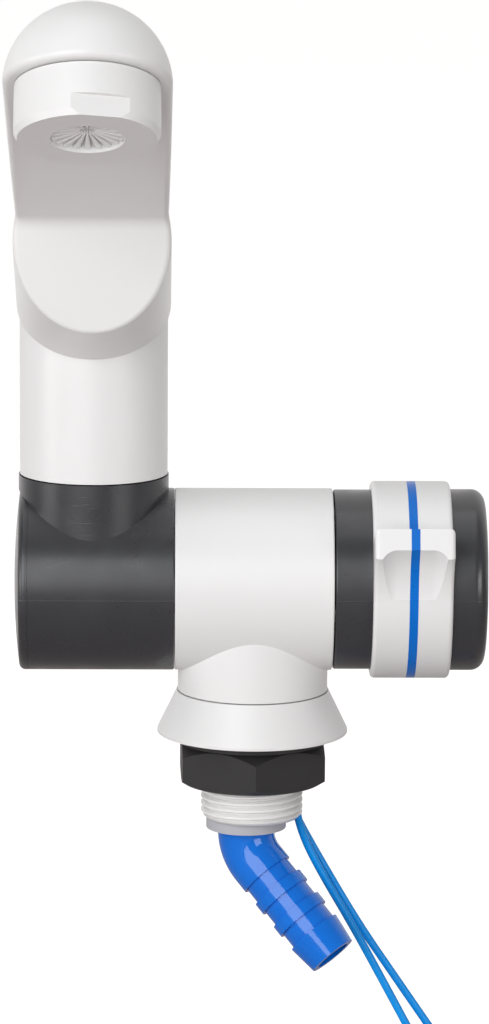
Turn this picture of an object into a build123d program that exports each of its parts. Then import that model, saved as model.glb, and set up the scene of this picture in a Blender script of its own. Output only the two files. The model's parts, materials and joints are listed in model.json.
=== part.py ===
from build123d import *
import math
import os

os.makedirs("parts", exist_ok=True)

# Driving dimensions, in millimetres.
# The origin is the centre of the mounting hole, in the plane of the worktop.
# X runs along the barrel towards the lever ring, and the spout reaches towards -Y.

# Body: a level barrel on an upright neck
barrel_diameter = 47.0
barrel_length = 40.6
barrel_height = 40.0
neck_diameter = 38.8
neck_seam_height = 11.2
moulded_edge = 0.45

# Clearances, and how far a cut runs past the surface that it opens
press_gap = 0.05
running_gap = 0.05
face_gap = 0.3
swivel_gap = 0.1
loose_gap = 0.15
ring_gap = 0.02
cut_margin = 1.0
same_place = 0.005

# Threaded shank, its end collar and the cable slot down its side
thread_diameter = 26.44
thread_pitch = 1.814
thread_depth = 1.16
thread_start = 1.6
thread_groove_share = 0.84
thread_flank = 66.0
thread_overcut = 0.17
inlet_bore = 9.0
shank_length = 22.8
spigot_diameter = 31.6
collar_diameter = 20.8
collar_length = 2.9
inlet_offset = 1.45
slot_angle = 21.0
slot_inner = 8.8
slot_outer = 14.0
slot_width = 5.2
wire_circle_radius = 11.8
wire_half_angle = 5.5

# Escutcheon, seal, washer and nut
escutcheon_top_diameter = 39.4
escutcheon_bottom_diameter = 49.3
escutcheon_gap = 0.3
escutcheon_rim = 0.7
seal_diameter = 40.0
seal_thickness = 1.1
washer_thickness = 1.0
nut_across_flats = 36.8
nut_height = 11.0
nut_turn = 31.6
nut_chamfer = 2.8
nut_face_inset = 0.7
nut_lower_chamfer = 1.9
nut_lower_inset = 0.1

# Valve chamber in the right half of the barrel
chamber_diameter = 39.0
chamber_floor = 6.0
duct_overlap = 3.0
screw_circle_radius = 16.8
screw_angles = (90, 200, 340)
screw_boss_diameter = 5.6
screw_hole_floor = 2.0
screw_diameter = 2.4
screw_head_diameter = 4.6
screw_head_height = 1.8
screw_slot_width = 0.6
screw_slot_share = 0.6
cover_screw_length = 9.0
cover_thickness = 2.0
cover_proud = 0.2
cartridge_diameter = 22.0
cartridge_boss_wall = 2.4
cartridge_boss_length = 6.0
cartridge_nose_diameter = 14.0
cartridge_nose_length = 2.6
disc_diameter = 18.0
seal_plate_thickness = 1.0
fixed_disc_thickness = 2.3
moving_disc_thickness = 2.3
port_diameter = 5.2
port_offset = 4.6
disc_gap = 0.05
channel_width = 3.6
channel_depth = 1.2
driver_length = 8.0
driver_width = 3.0
driver_depth = 0.9
spindle_diameter = 8.0
spindle_driver_thickness = 2.0
spindle_length = 22.0
spline_diameter = 7.4
spline_length = 9.5
spline_teeth = 12
oring_section = 1.8
oring_place = 16.5

# Microswitch below the cartridge
switch_width = 12.6
switch_height = 5.6
switch_depth = 5.4
switch_drop = 14.6
plunger_diameter = 2.0
plunger_travel = 0.8
plunger_well = 3.0
plunger_edge = 0.4
switch_edge = 0.5
tag_length = 3.4
tag_width = 2.0
tag_thickness = 0.5
tag_drop = 15.6
cam_middle = 23.4
cam_inner_diameter = 25.2
cam_outer_diameter = 33.6

# Handle on the right
sleeve_step = 0.3
sleeve_diameter = barrel_diameter - 2 * sleeve_step
sleeve_end = 30.1
ring_diameter = 50.9
ring_end = 50.45
band_start = 39.3
band_width = 2.25
ring_edge = 1.1
tab_angle = 28.0
tab_tip_radius = 34.9
tab_top = 2.75
tab_bottom = 4.9
tab_root_angle = 32.0
tab_root_fillet = 1.6
tab_root_inset = 2.0
tab_root_depth = 12.0
tab_tip_lean = 1.2
dish_depth = 2.4
dish_root_angle = 28.0
dish_corner = 4.5
dish_margin = 1.2
dish_tip_inset = 0.5
dish_overshoot = 5.0
dish_cutter_depth = 18.0
core_diameter = 41.6
core_wall = 2.4
core_start = 22.9
hub_diameter = 15.0
web_start = 30.5
web_thickness = 2.5
knob_screw_diameter = 2.6
knob_screw_reach = 9.0
knob_screw_head = 6.0
knob_screw_head_height = 2.2
knob_screw_end_gap = 1.0
knob_screw_edge = 0.7
cap_end = 60.0
cap_diameter = 46.8
cap_corner = 3.5
cap_dome = 0.6
cap_wall = 2.2
cap_face_wall = 3.2
cap_spigot_length = 6.0
pivot_cap_corner = 1.6
pivot_cap_dome = 1.5
pivot_cap_spigot = 2.5

# Swivel on the left
journal_diameter = 20.0
journal_bore = 11.0
journal_collar_diameter = 26.0
journal_seat_depth = 12.1
journal_lead_in = 0.8
journal_bore_overrun = 3.5
cross_groove_width = 5.0
cross_groove_depth = 1.2
cross_hole_diameter = 4.0
swivel_ring_spacing = 10.8
oring_groove_room = 0.4
plenum_depth = 2.0
journal_reach = 53.4
swivel_end = 57.9
recess_start = 49.0
recess_diameter = 32.0
pivot_cap_end = 61.6
clip_thickness = 1.2
clip_diameter = 25.0
clip_groove_depth = 1.0
clip_opening = 10.0
swivel_washer_diameter = 30.0
swivel_washer_thickness = 1.1

# Spout
column_offset = 41.2
column_diameter = 38.0
column_bore = 32.4
column_seam_lift = 27.95
column_length = 43.85
column_spigot_diameter = 30.6
column_spigot_bore = 25.0
column_step_height = 4.0
swivel_collar_diameter = 38.6
riser_diameter = 12.0
riser_bore = 9.0
riser_foot_wall = 2.6
riser_socket_depth = 5.05
riser_top_lift = 1.2
riser_ring_section = 0.8
riser_ring_inset = 2.8
head_diameter = 39.5
arm_angle = 29.5
arm_length = 137.0
underside_angle = 27.0
scoop_foot_reach = 35.6
scoop_foot_drop = 7.8
scoop_top_reach = 38.4
scoop_fillet = 4.5
scoop_rim_reach = 2.5
scoop_cutter_drop = 20.0
head_edge = 1.3
head_plug_length = 9.0
channel_diameter = 9.0
channel_lift = 8.6

# Aerator under the end of the arm
aerator_diameter = 34.0
aerator_height = 12.95
aerator_chamfer = 1.6
aerator_chamfer_inset = 0.8
nozzle_diameter = 22.0
nozzle_bore = 17.2
nozzle_length = 6.5
rubber_thickness = 1.1
screen_thickness = 0.7
screen_pitch = 2.4
screen_hole = 1.5
screen_row_count = 7
insert_diameter = 18.6
insert_height = 3.6
star_slot_count = 20
star_slot_width = 0.9
star_slot_length = 4.0
star_slot_radius = 6.2
aerator_mouth = 17.4
spanner_flat_width = 13.7
spanner_flat_turn = 11.7
spanner_flat_start = 7.9

# Hose tail under the shank
tail_diameter = 14.7
tail_root_diameter = 13.2
tail_bore = 9.6
tail_spigot_diameter = 12.8
tail_spigot_length = 16.0
tail_seat_gap = 1.0
tail_spigot_bore = 8.4
tail_ring_section = 1.4
tail_ring_inset = 2.2
tail_ring_spacing = 3.2
snap_ring_place = 4.0
snap_ring_thickness = 1.0
snap_ring_depth = 1.0
snap_ring_opening = 4.3
tail_bend = 45.0
tail_bend_radius = 12.0
tail_bend_drop = 5.8
tail_bend_reach = 9.0
tail_azimuth = -28.7
tail_barb_pitch = 7.55
tail_barb_length = 3.1
tail_barb_start = 4.4
tail_barbs = 2
tail_tip_length = 7.8
tail_tip_diameter = 12.8

# Switch cable of two single wires
wire_diameter = 2.1
strand_diameter = 1.2
stripped_length = 6.0
coil_radius = 12.0
coil_turns = 2
coil_step = 2.7
coil_centre_x = 68.0
coil_centre_z = -104.0
coil_front_y = 5.0
wire_exit_z = -13.0
wire_leaves_slot_z = -20.8
bend_share = 0.45
tie_width = 2.5
tie_thickness = 1.0
tie_gap = 0.2
tie_head = 4.2
tie_head_height = 3.1

# Each wire's corners below the slot, where it hangs in straight runs joined by wide bends
front_wire_route = [
    (13.4, 4.2, -29.2),
    (18.1, 4.5, -38.8),
    (26.6, 4.5, -53.3),
    (35.3, 4.5, -69.4),
    (42.3, 4.6, -82.6),
]
back_wire_route = [
    (14.2, 7.0, -27.5),
    (19.3, 7.2, -38.3),
    (28.7, 7.2, -54.3),
    (38.2, 7.2, -68.3),
    (48.5, 7.3, -83.5),
]
# The front wire joins its coil a twelfth of a turn later than the back one
front_wire_entry = 1 / 12
back_wire_entry = 0.0
front_wire_last_run = 10.0
back_wire_last_run = 7.9

# Values that follow from the driving dimensions
barrel_radius = barrel_diameter / 2
barrel_half = barrel_length / 2
neck_radius = neck_diameter / 2
thread_radius = thread_diameter / 2
thread_root = thread_radius - thread_depth
chamber_radius = chamber_diameter / 2
shank_bottom = -(shank_length + collar_length)
cover_start = barrel_half + cover_proud - cover_thickness
barrel_axis = Axis((0, 0, barrel_height), (1, 0, 0))


def across(x):
    """Plane square to the barrel: its own x is the model's Y and its own y is Z."""
    return Plane(origin=(x, 0, barrel_height), x_dir=(0, 1, 0), z_dir=(1, 0, 0))


def along_barrel():
    """Upright plane through the barrel's axis, for profiles that are revolved about it."""
    return Plane(origin=(0, 0, barrel_height), x_dir=(1, 0, 0), z_dir=(0, -1, 0))


def barrel_disc(start, end, diameter, mode=Mode.ADD):
    """Round bar or hole along the barrel between two places on X."""
    with BuildSketch(across(start)) as outline:
        Circle(diameter / 2)
    extrude(outline.sketch, amount=end - start, mode=mode)


def barrel_tube(start, end, outer, inner, mode=Mode.ADD):
    """Tube along the barrel between two places on X."""
    with BuildSketch(across(start)) as outline:
        Circle(outer / 2)
        Circle(inner / 2, mode=Mode.SUBTRACT)
    extrude(outline.sketch, amount=end - start, mode=mode)


def upright_disc(bottom, top, diameter, x=0.0, mode=Mode.ADD):
    """Round bar or hole along Z at a place on X."""
    with BuildSketch(Plane((x, 0, bottom))) as outline:
        Circle(diameter / 2)
    extrude(outline.sketch, amount=top - bottom, mode=mode)


def oring(plane, shaft_diameter, section):
    """Rubber ring in a shaft's groove, which is as deep as the ring is thick."""
    with BuildSketch(Plane(origin=plane.origin, x_dir=plane.x_dir, z_dir=plane.y_dir)) as outline:
        with Locations(((shaft_diameter - section) / 2, 0)):
            Circle(section / 2 - ring_gap)
    revolve(outline.sketch, axis=Axis(plane.origin, plane.z_dir))


def domed_cap(start, end, radius, corner, height):
    """Round cap on the barrel's axis with a slightly domed face and a rounded rim."""
    dome = math.copysign(height, end - start)
    with BuildSketch(along_barrel()) as outline:
        with BuildLine():
            Line((start, 0), (start, radius))
            Line((start, radius), (end - dome, radius))
            TangentArc((end, 0), (end - dome, radius), tangent=(0, 1))
            Line((end, 0), (start, 0))
        make_face()
        rim = outline.vertices().sort_by_distance((end - dome, radius))[0]
        fillet(rim, radius=corner)
    revolve(outline.sketch, axis=barrel_axis)


def round_cord(path, diameter, mode=Mode.ADD):
    """Round cord, or a round bore, along a path."""
    with BuildSketch(Plane(origin=path @ 0, z_dir=path % 0)) as section:
        Circle(diameter / 2)
    sweep(section.sketch, path=path, mode=mode)


def save(part, label):
    """Name a finished piece and write its file."""
    part.label = label
    export_step(part, f"parts/{label}.step")


def polar(radius, angle):
    """Place on a circle, from its radius and its angle in degrees."""
    return (radius * math.cos(math.radians(angle)), radius * math.sin(math.radians(angle)))


def cross_slot(head_diameter):
    """Outline of the cross-shaped driver recess in a screw's head."""
    Rectangle(head_diameter * screw_slot_share, screw_slot_width)
    Rectangle(screw_slot_width, head_diameter * screw_slot_share)


# Body of the tap, with the thread cut along its shank

spigot_radius = spigot_diameter / 2
cartridge_seat = cartridge_diameter + 2 * loose_gap
boss_diameter = cartridge_seat + 2 * cartridge_boss_wall
slot_place = polar((slot_inner + slot_outer) / 2, slot_angle)
tail_seat_top = shank_bottom + tail_spigot_length + tail_seat_gap
snap_ring_z = shank_bottom + snap_ring_place
pocket_floor = -(barrel_half - journal_seat_depth)
duct_top = barrel_height - chamber_radius + duct_overlap
screw_places = [polar(screw_circle_radius, angle) for angle in screw_angles]
inlet_top = barrel_height - port_offset + port_diameter / 2

with BuildPart() as barrel_shell:
    barrel_disc(-barrel_half, barrel_half, barrel_diameter)
    fillet(barrel_shell.edges().filter_by(GeomType.CIRCLE), radius=moulded_edge)

with BuildPart() as thread_groove:
    groove_path = Helix(
        pitch=thread_pitch,
        height=shank_length - thread_start + thread_pitch,
        radius=thread_root,
        center=(0, 0, -shank_length - thread_pitch),
    )
    with BuildSketch(Plane(origin=groove_path @ 0, x_dir=(1, 0, 0), z_dir=groove_path % 0)):
        Trapezoid(
            thread_pitch * thread_groove_share,
            thread_depth + thread_overcut,
            thread_flank,
            rotation=90,
            align=(Align.CENTER, Align.MAX),
        )
    sweep(path=groove_path, is_frenet=True)

with BuildPart() as tap_body:
    add(barrel_shell.part)
    with BuildSketch(Plane.XZ):
        Polygon(
            (0, barrel_height),
            (neck_radius, barrel_height),
            (neck_radius, neck_seam_height),
            (spigot_radius, neck_seam_height),
            (spigot_radius, 0),
            (thread_radius, 0),
            (thread_radius, -shank_length + thread_depth),
            (thread_root, -shank_length),
            (0, -shank_length),
            align=None,
        )
    revolve(axis=Axis.Z)
    upright_disc(shank_bottom, -shank_length, collar_diameter, x=-inlet_offset)
    add(thread_groove.part, mode=Mode.SUBTRACT)
    # Chamber for the valve and the switch
    barrel_disc(chamber_floor, barrel_half + cut_margin, chamber_diameter, mode=Mode.SUBTRACT)
    barrel_tube(chamber_floor, chamber_floor + cartridge_boss_length, boss_diameter, cartridge_seat)
    with BuildSketch(across(chamber_floor)) as screw_bosses:
        with Locations(*screw_places):
            Circle(screw_boss_diameter / 2)
    extrude(amount=cover_start - chamber_floor)
    with BuildSketch(across(chamber_floor + screw_hole_floor)) as screw_holes:
        with Locations(*screw_places):
            Circle(screw_diameter / 2)
    extrude(amount=cover_start - chamber_floor, mode=Mode.SUBTRACT)
    # Pocket for the swivel journal
    barrel_disc(
        -barrel_half - cut_margin, pocket_floor, journal_collar_diameter, mode=Mode.SUBTRACT
    )
    # Water in from the hose tail, across to the valve, and out to the journal
    upright_disc(
        shank_bottom - cut_margin,
        tail_seat_top,
        tail_spigot_diameter + 2 * running_gap,
        x=-inlet_offset,
        mode=Mode.SUBTRACT,
    )
    upright_disc(
        snap_ring_z - snap_ring_thickness / 2 - press_gap,
        snap_ring_z + snap_ring_thickness / 2 + press_gap,
        tail_spigot_diameter + 2 * snap_ring_depth + 2 * press_gap,
        x=-inlet_offset,
        mode=Mode.SUBTRACT,
    )
    upright_disc(tail_seat_top, inlet_top, inlet_bore, x=-inlet_offset, mode=Mode.SUBTRACT)
    with BuildSketch(across(-inlet_offset)):
        with Locations((0, -port_offset)):
            Circle(port_diameter / 2)
    extrude(amount=chamber_floor + inlet_offset, mode=Mode.SUBTRACT)
    with BuildSketch(across(pocket_floor)):
        with Locations((0, port_offset)):
            Circle(port_diameter / 2)
    extrude(amount=chamber_floor - pocket_floor, mode=Mode.SUBTRACT)
    # Duct for the switch wires, which opens as a slot down the shank
    with BuildSketch(Plane.XY.offset(shank_bottom - cut_margin)):
        with Locations(Location((slot_place[0], slot_place[1], 0), (0, 0, slot_angle))):
            Rectangle(slot_outer - slot_inner, slot_width)
    extrude(amount=duct_top - shank_bottom + cut_margin, mode=Mode.SUBTRACT)
save(tap_body.part, "tap_body")


# Escutcheon, seal, washer and nut on the shank

escutcheon_top = neck_seam_height - escutcheon_gap
with BuildPart() as escutcheon:
    with BuildSketch(Plane.XZ):
        Polygon(
            (spigot_radius + loose_gap, 0),
            (escutcheon_bottom_diameter / 2, 0),
            (escutcheon_bottom_diameter / 2, escutcheon_rim),
            (escutcheon_top_diameter / 2, escutcheon_top),
            (spigot_radius + loose_gap, escutcheon_top),
            align=None,
        )
    revolve(axis=Axis.Z)
    rim = escutcheon.edges().filter_by(GeomType.CIRCLE).group_by(SortBy.RADIUS)[-1]
    fillet(rim.sort_by(Axis.Z)[-1], radius=escutcheon_rim / 2)
save(escutcheon.part, "escutcheon")

with BuildPart() as base_seal:
    with BuildSketch(Plane.XY.offset(-seal_thickness)):
        Circle(seal_diameter / 2)
        Circle(thread_radius + face_gap, mode=Mode.SUBTRACT)
    extrude(amount=seal_thickness)
save(base_seal.part, "base_seal")

washer_top = -seal_thickness - press_gap
nut_top = washer_top - washer_thickness - press_gap
nut_bottom = nut_top - nut_height
nut_bore = thread_diameter + 2 * running_gap
with BuildPart() as clamp_washer:
    with BuildSketch(Plane.XY.offset(washer_top - washer_thickness)):
        Circle(seal_diameter / 2)
        Circle(thread_radius + face_gap, mode=Mode.SUBTRACT)
    extrude(amount=washer_thickness)
save(clamp_washer.part, "clamp_washer")

nut_corner_radius = nut_across_flats / 2 / math.cos(math.pi / 6)
with BuildPart() as fixing_nut:
    with BuildSketch(Plane.XY.offset(nut_bottom)):
        RegularPolygon(nut_corner_radius, 6, rotation=nut_turn)
    extrude(amount=nut_height)
    # The corners are turned off to a cone at both ends, which leaves the arcs on the flats
    with BuildSketch(Plane.XZ):
        Polygon(
            (0, nut_bottom),
            (nut_across_flats / 2 - nut_lower_inset, nut_bottom),
            (nut_corner_radius, nut_bottom + nut_lower_chamfer),
            (nut_corner_radius, nut_top - nut_chamfer),
            (nut_across_flats / 2 - nut_face_inset, nut_top),
            (0, nut_top),
            align=None,
        )
    revolve(axis=Axis.Z, mode=Mode.INTERSECT)
    upright_disc(nut_bottom - cut_margin, nut_top + cut_margin, nut_bore, mode=Mode.SUBTRACT)
save(fixing_nut.part, "fixing_nut")


# Valve: seal, ceramic discs, cartridge body, spindle and cover

seal_plate_end = chamber_floor + seal_plate_thickness
fixed_disc_end = seal_plate_end + fixed_disc_thickness
moving_disc_start = fixed_disc_end + disc_gap
moving_disc_end = moving_disc_start + moving_disc_thickness
driver_start = moving_disc_end + disc_gap
driver_end = driver_start + spindle_driver_thickness
spline_start = driver_start + spindle_length - spline_length
spindle_end = driver_start + spindle_length
nose_end = cover_start + cartridge_nose_length
cavity_diameter = disc_diameter + 2 * loose_gap


def port_holes(start, depth):
    """The two water ports through a plate, one above and one below the barrel's axis."""
    with BuildSketch(across(start)) as ports:
        with Locations((0, port_offset), (0, -port_offset)):
            Circle(port_diameter / 2)
    extrude(ports.sketch, amount=depth, mode=Mode.SUBTRACT)


with BuildPart() as port_seal:
    barrel_disc(chamber_floor, seal_plate_end, disc_diameter)
    port_holes(chamber_floor, seal_plate_thickness)
save(port_seal.part, "port_seal")

with BuildPart() as fixed_disc:
    barrel_disc(seal_plate_end, fixed_disc_end, disc_diameter)
    port_holes(seal_plate_end, fixed_disc_thickness)
save(fixed_disc.part, "fixed_disc")

with BuildPart() as moving_disc:
    barrel_disc(moving_disc_start, moving_disc_end, disc_diameter)
    # Crosswise channel: closed as it lies, open once it is turned upright over both ports
    with BuildSketch(across(moving_disc_start)):
        SlotOverall(2 * port_offset + port_diameter, channel_width)
    extrude(amount=channel_depth, mode=Mode.SUBTRACT)
    with BuildSketch(across(moving_disc_end)):
        Rectangle(driver_length + 2 * loose_gap, driver_width + 2 * loose_gap)
    extrude(amount=-driver_depth - press_gap, mode=Mode.SUBTRACT)
save(moving_disc.part, "moving_disc")

with BuildPart() as spindle:
    barrel_disc(driver_start, driver_end, disc_diameter)
    with BuildSketch(across(driver_start)):
        Rectangle(driver_length, driver_width)
    extrude(amount=-driver_depth)
    barrel_disc(driver_end, spline_start, spindle_diameter)
    with BuildSketch(across(spline_start)):
        RegularPolygon(spline_diameter / 2, spline_teeth)
    extrude(amount=spline_length)
    barrel_tube(
        oring_place - oring_section / 2,
        oring_place + oring_section / 2,
        spindle_diameter + cut_margin,
        spindle_diameter - 2 * oring_section,
        mode=Mode.SUBTRACT,
    )
    barrel_disc(spindle_end - knob_screw_reach, spindle_end, knob_screw_diameter, mode=Mode.SUBTRACT)
save(spindle.part, "valve_spindle")

with BuildPart() as spindle_oring:
    oring(across(oring_place), spindle_diameter, oring_section)
save(spindle_oring.part, "spindle_oring")

with BuildPart() as cartridge:
    barrel_disc(chamber_floor, cover_start - loose_gap, cartridge_diameter)
    barrel_disc(cover_start - loose_gap, nose_end, cartridge_nose_diameter)
    barrel_disc(chamber_floor, driver_end + loose_gap, cavity_diameter, mode=Mode.SUBTRACT)
    barrel_disc(chamber_floor, nose_end, spindle_diameter + 2 * running_gap, mode=Mode.SUBTRACT)
save(cartridge.part, "cartridge_body")

cover_diameter = chamber_diameter - 2 * loose_gap
with BuildPart() as chamber_cover:
    barrel_tube(
        cover_start,
        cover_start + cover_thickness,
        cover_diameter,
        cartridge_nose_diameter + 2 * loose_gap,
    )
    with BuildSketch(across(cover_start)) as cover_holes:
        with Locations(*screw_places):
            Circle(screw_diameter / 2 + loose_gap)
        with Locations((0, -switch_drop)):
            Circle(plunger_diameter / 2 + loose_gap)
    extrude(amount=cover_thickness, mode=Mode.SUBTRACT)
save(chamber_cover.part, "chamber_cover")

screw_head_start = cover_start + cover_thickness
with BuildPart() as cover_screws:
    with BuildSketch(across(screw_head_start - cover_screw_length)):
        with Locations(*screw_places):
            Circle(screw_diameter / 2 - press_gap)
    extrude(amount=cover_screw_length)
    with BuildSketch(across(screw_head_start)):
        with Locations(*screw_places):
            Circle(screw_head_diameter / 2)
    extrude(amount=screw_head_height)
    with BuildSketch(across(screw_head_start + screw_head_height)):
        with Locations(*screw_places):
            cross_slot(screw_head_diameter)
    extrude(amount=-screw_head_height / 2, mode=Mode.SUBTRACT)
save(cover_screws.part, "cover_screws")


# Microswitch, its plunger and the cam that pushes it

switch_front = cover_start - loose_gap
switch_back = switch_front - switch_depth
plunger_back = switch_front - plunger_well + plunger_travel + face_gap
plunger_tip = cam_middle + plunger_travel / 2 - loose_gap
wire_places = [
    polar(wire_circle_radius, slot_angle + side * wire_half_angle) for side in (-1, 1)
]
tag_places = [(place[1], -tag_drop) for place in wire_places]

with BuildPart() as microswitch:
    with BuildSketch(across(switch_back)):
        with Locations((0, -switch_drop)):
            Rectangle(switch_width, switch_height)
    extrude(amount=switch_depth)
    fillet(microswitch.edges().filter_by(Axis.X), radius=switch_edge)
    with BuildSketch(across(switch_front)):
        with Locations((0, -switch_drop)):
            Circle(plunger_diameter / 2 + running_gap)
    extrude(amount=-plunger_well, mode=Mode.SUBTRACT)
save(microswitch.part, "microswitch")

with BuildPart() as switch_tags:
    with BuildSketch(across(switch_back)):
        with Locations(*tag_places):
            Rectangle(tag_thickness, tag_width)
    extrude(amount=-tag_length)
save(switch_tags.part, "switch_tags")

with BuildPart() as switch_plunger:
    with BuildSketch(across(plunger_back)):
        with Locations((0, -switch_drop)):
            Circle(plunger_diameter / 2)
    extrude(amount=plunger_tip - plunger_back)
    fillet(switch_plunger.edges().group_by(Axis.X)[-1], radius=plunger_edge)
save(switch_plunger.part, "switch_plunger")

# The cam's face is a slanted plane, which pushes the plunger nearly evenly over a quarter turn
cam_slope = plunger_travel / 2 / switch_drop
cam_stock_start = cam_middle - plunger_travel - cut_margin
with BuildPart() as switch_cam:
    barrel_tube(cam_stock_start, web_start, cam_outer_diameter, cam_inner_diameter)
    slanted = Plane(origin=(cam_middle, 0, barrel_height), z_dir=(1, cam_slope, cam_slope))
    split(bisect_by=slanted, keep=Keep.TOP)
save(switch_cam.part, "switch_cam")


# Handle: core, sleeve, two white rings with a blue band between them, cap and screw

core_bore = core_diameter - 2 * core_wall
ring_bore = core_diameter + 2 * press_gap
hub_end = spindle_end + face_gap
band_end = band_start + band_width

with BuildPart() as knob_core:
    barrel_tube(core_start, ring_end, core_diameter, core_bore)
    barrel_disc(web_start, web_start + web_thickness, core_bore + core_wall)
    barrel_disc(spline_start + face_gap, hub_end, hub_diameter)
    with BuildSketch(across(spline_start)):
        RegularPolygon(spline_diameter / 2 + running_gap, spline_teeth)
    extrude(amount=spline_length + loose_gap, mode=Mode.SUBTRACT)
    barrel_disc(spline_start, hub_end, knob_screw_diameter + 2 * loose_gap, mode=Mode.SUBTRACT)
save(knob_core.part, "knob_core")

with BuildPart() as knob_sleeve:
    barrel_disc(barrel_half + face_gap, sleeve_end, sleeve_diameter)
    outer_edge = knob_sleeve.edges().filter_by(GeomType.CIRCLE).sort_by(Axis.X)[0]
    fillet(outer_edge, radius=moulded_edge)
    barrel_disc(barrel_half, sleeve_end, ring_bore, mode=Mode.SUBTRACT)
save(knob_sleeve.part, "knob_sleeve")


def tab_plane(x):
    """Plane square to the barrel with its own x along the tab, which points forward and up."""
    tilt = math.radians(tab_angle)
    return Plane(
        origin=(x, 0, barrel_height), x_dir=(0, -math.cos(tilt), math.sin(tilt)), z_dir=(-1, 0, 0)
    )


def lever_ring(start, end):
    """One slice of the lever ring: a disc with the finger tab grown out of it."""
    radius = ring_diameter / 2
    root = polar(radius, -tab_root_angle)
    root_direction = polar(1, 90 - tab_root_angle)
    upper_root = (radius - tab_root_inset, tab_top)
    upper_tip = (tab_tip_radius, tab_top)
    lower_tip = (tab_tip_radius - tab_tip_lean, -tab_bottom)
    inside = (radius - tab_root_depth, 0)
    with BuildSketch(tab_plane(start)) as tab:
        with BuildLine():
            Line(upper_root, upper_tip)
            TangentArc(root, lower_tip, tangent=root_direction)
            Line(lower_tip, upper_tip)
            Line(root, inside)
            Line(inside, upper_root)
        make_face()
        Circle(radius)
        root_corner = tab.vertices().sort_by_distance((radius, tab_top))[0]
        fillet(root_corner, radius=tab_root_fillet)
    extrude(tab.sketch, amount=start - end)


with BuildPart() as finger_dish:
    dish_root = polar(ring_diameter / 2, -dish_root_angle)
    dish_tip = (tab_tip_radius - dish_tip_inset, -tab_bottom + dish_depth)
    with BuildSketch(tab_plane(sleeve_end + press_gap + dish_margin)):
        with BuildLine():
            hollow = TangentArc(dish_root, dish_tip, tangent=polar(1, 90 - dish_root_angle))
            onward = hollow @ 1 + (hollow % 1) * dish_overshoot
            cutter_bottom = onward.Y - dish_cutter_depth
            Line(hollow @ 1, onward)
            Line(onward, (onward.X, cutter_bottom))
            Line((onward.X, cutter_bottom), (dish_root[0], cutter_bottom))
            Line((dish_root[0], cutter_bottom), dish_root)
        make_face()
    extrude(amount=-(ring_end - sleeve_end - press_gap - 2 * dish_margin))
    upper_edges = finger_dish.edges().filter_by(GeomType.CIRCLE)
    fillet(upper_edges, radius=dish_corner)

ring_slices = {
    "handle_ring_inner": (sleeve_end + press_gap, band_start),
    "cold_band": (band_start, band_end),
    "handle_ring_outer": (band_end, ring_end),
}
for label, (start, end) in ring_slices.items():
    with BuildPart() as ring_slice:
        lever_ring(start, end)
        add(finger_dish.part, mode=Mode.SUBTRACT)
        if label == "handle_ring_inner":
            fillet(ring_slice.faces().sort_by(Axis.X)[0].edges(), radius=ring_edge)
        if label == "handle_ring_outer":
            fillet(ring_slice.faces().sort_by(Axis.X)[-1].edges(), radius=ring_edge)
        barrel_disc(start - cut_margin, end + cut_margin, ring_bore, mode=Mode.SUBTRACT)
    save(ring_slice.part, label)

cap_start = ring_end + press_gap
with BuildPart() as end_cap:
    domed_cap(cap_start, cap_end, cap_diameter / 2, cap_corner, cap_dome)
    barrel_disc(cap_start - cap_spigot_length, cap_start, core_bore - 2 * press_gap)
    barrel_disc(
        cap_start - cap_spigot_length,
        cap_end - cap_dome - cap_face_wall,
        core_bore - 2 * cap_wall,
        mode=Mode.SUBTRACT,
    )
save(end_cap.part, "end_cap")

with BuildPart() as knob_screw:
    barrel_disc(
        spindle_end - knob_screw_reach + knob_screw_end_gap,
        hub_end,
        knob_screw_diameter - 2 * press_gap,
    )
    barrel_disc(hub_end, hub_end + knob_screw_head_height, knob_screw_head)
    outer_edge = knob_screw.edges().filter_by(GeomType.CIRCLE).sort_by(Axis.X)[-1]
    fillet(outer_edge, radius=knob_screw_edge)
    with BuildSketch(across(hub_end + knob_screw_head_height)):
        cross_slot(knob_screw_head)
    extrude(amount=-knob_screw_head_height / 2, mode=Mode.SUBTRACT)
save(knob_screw.part, "knob_screw")


# Swivel: hollow journal, its rings, the housing that turns on it, washer, clip and cap

journal_collar_end = pocket_floor - plenum_depth
collar_fit_diameter = journal_collar_diameter - 2 * press_gap
stub_radius = journal_diameter / 2
swivel_ring_places = [-column_offset + side * swivel_ring_spacing / 2 for side in (1, -1)]
journal_ring_place = (journal_collar_end - barrel_half) / 2
oring_groove = oring_section + oring_groove_room
clip_groove_diameter = journal_diameter - 2 * clip_groove_depth
washer_place = recess_start + press_gap
clip_place = washer_place + swivel_washer_thickness + press_gap

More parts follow.
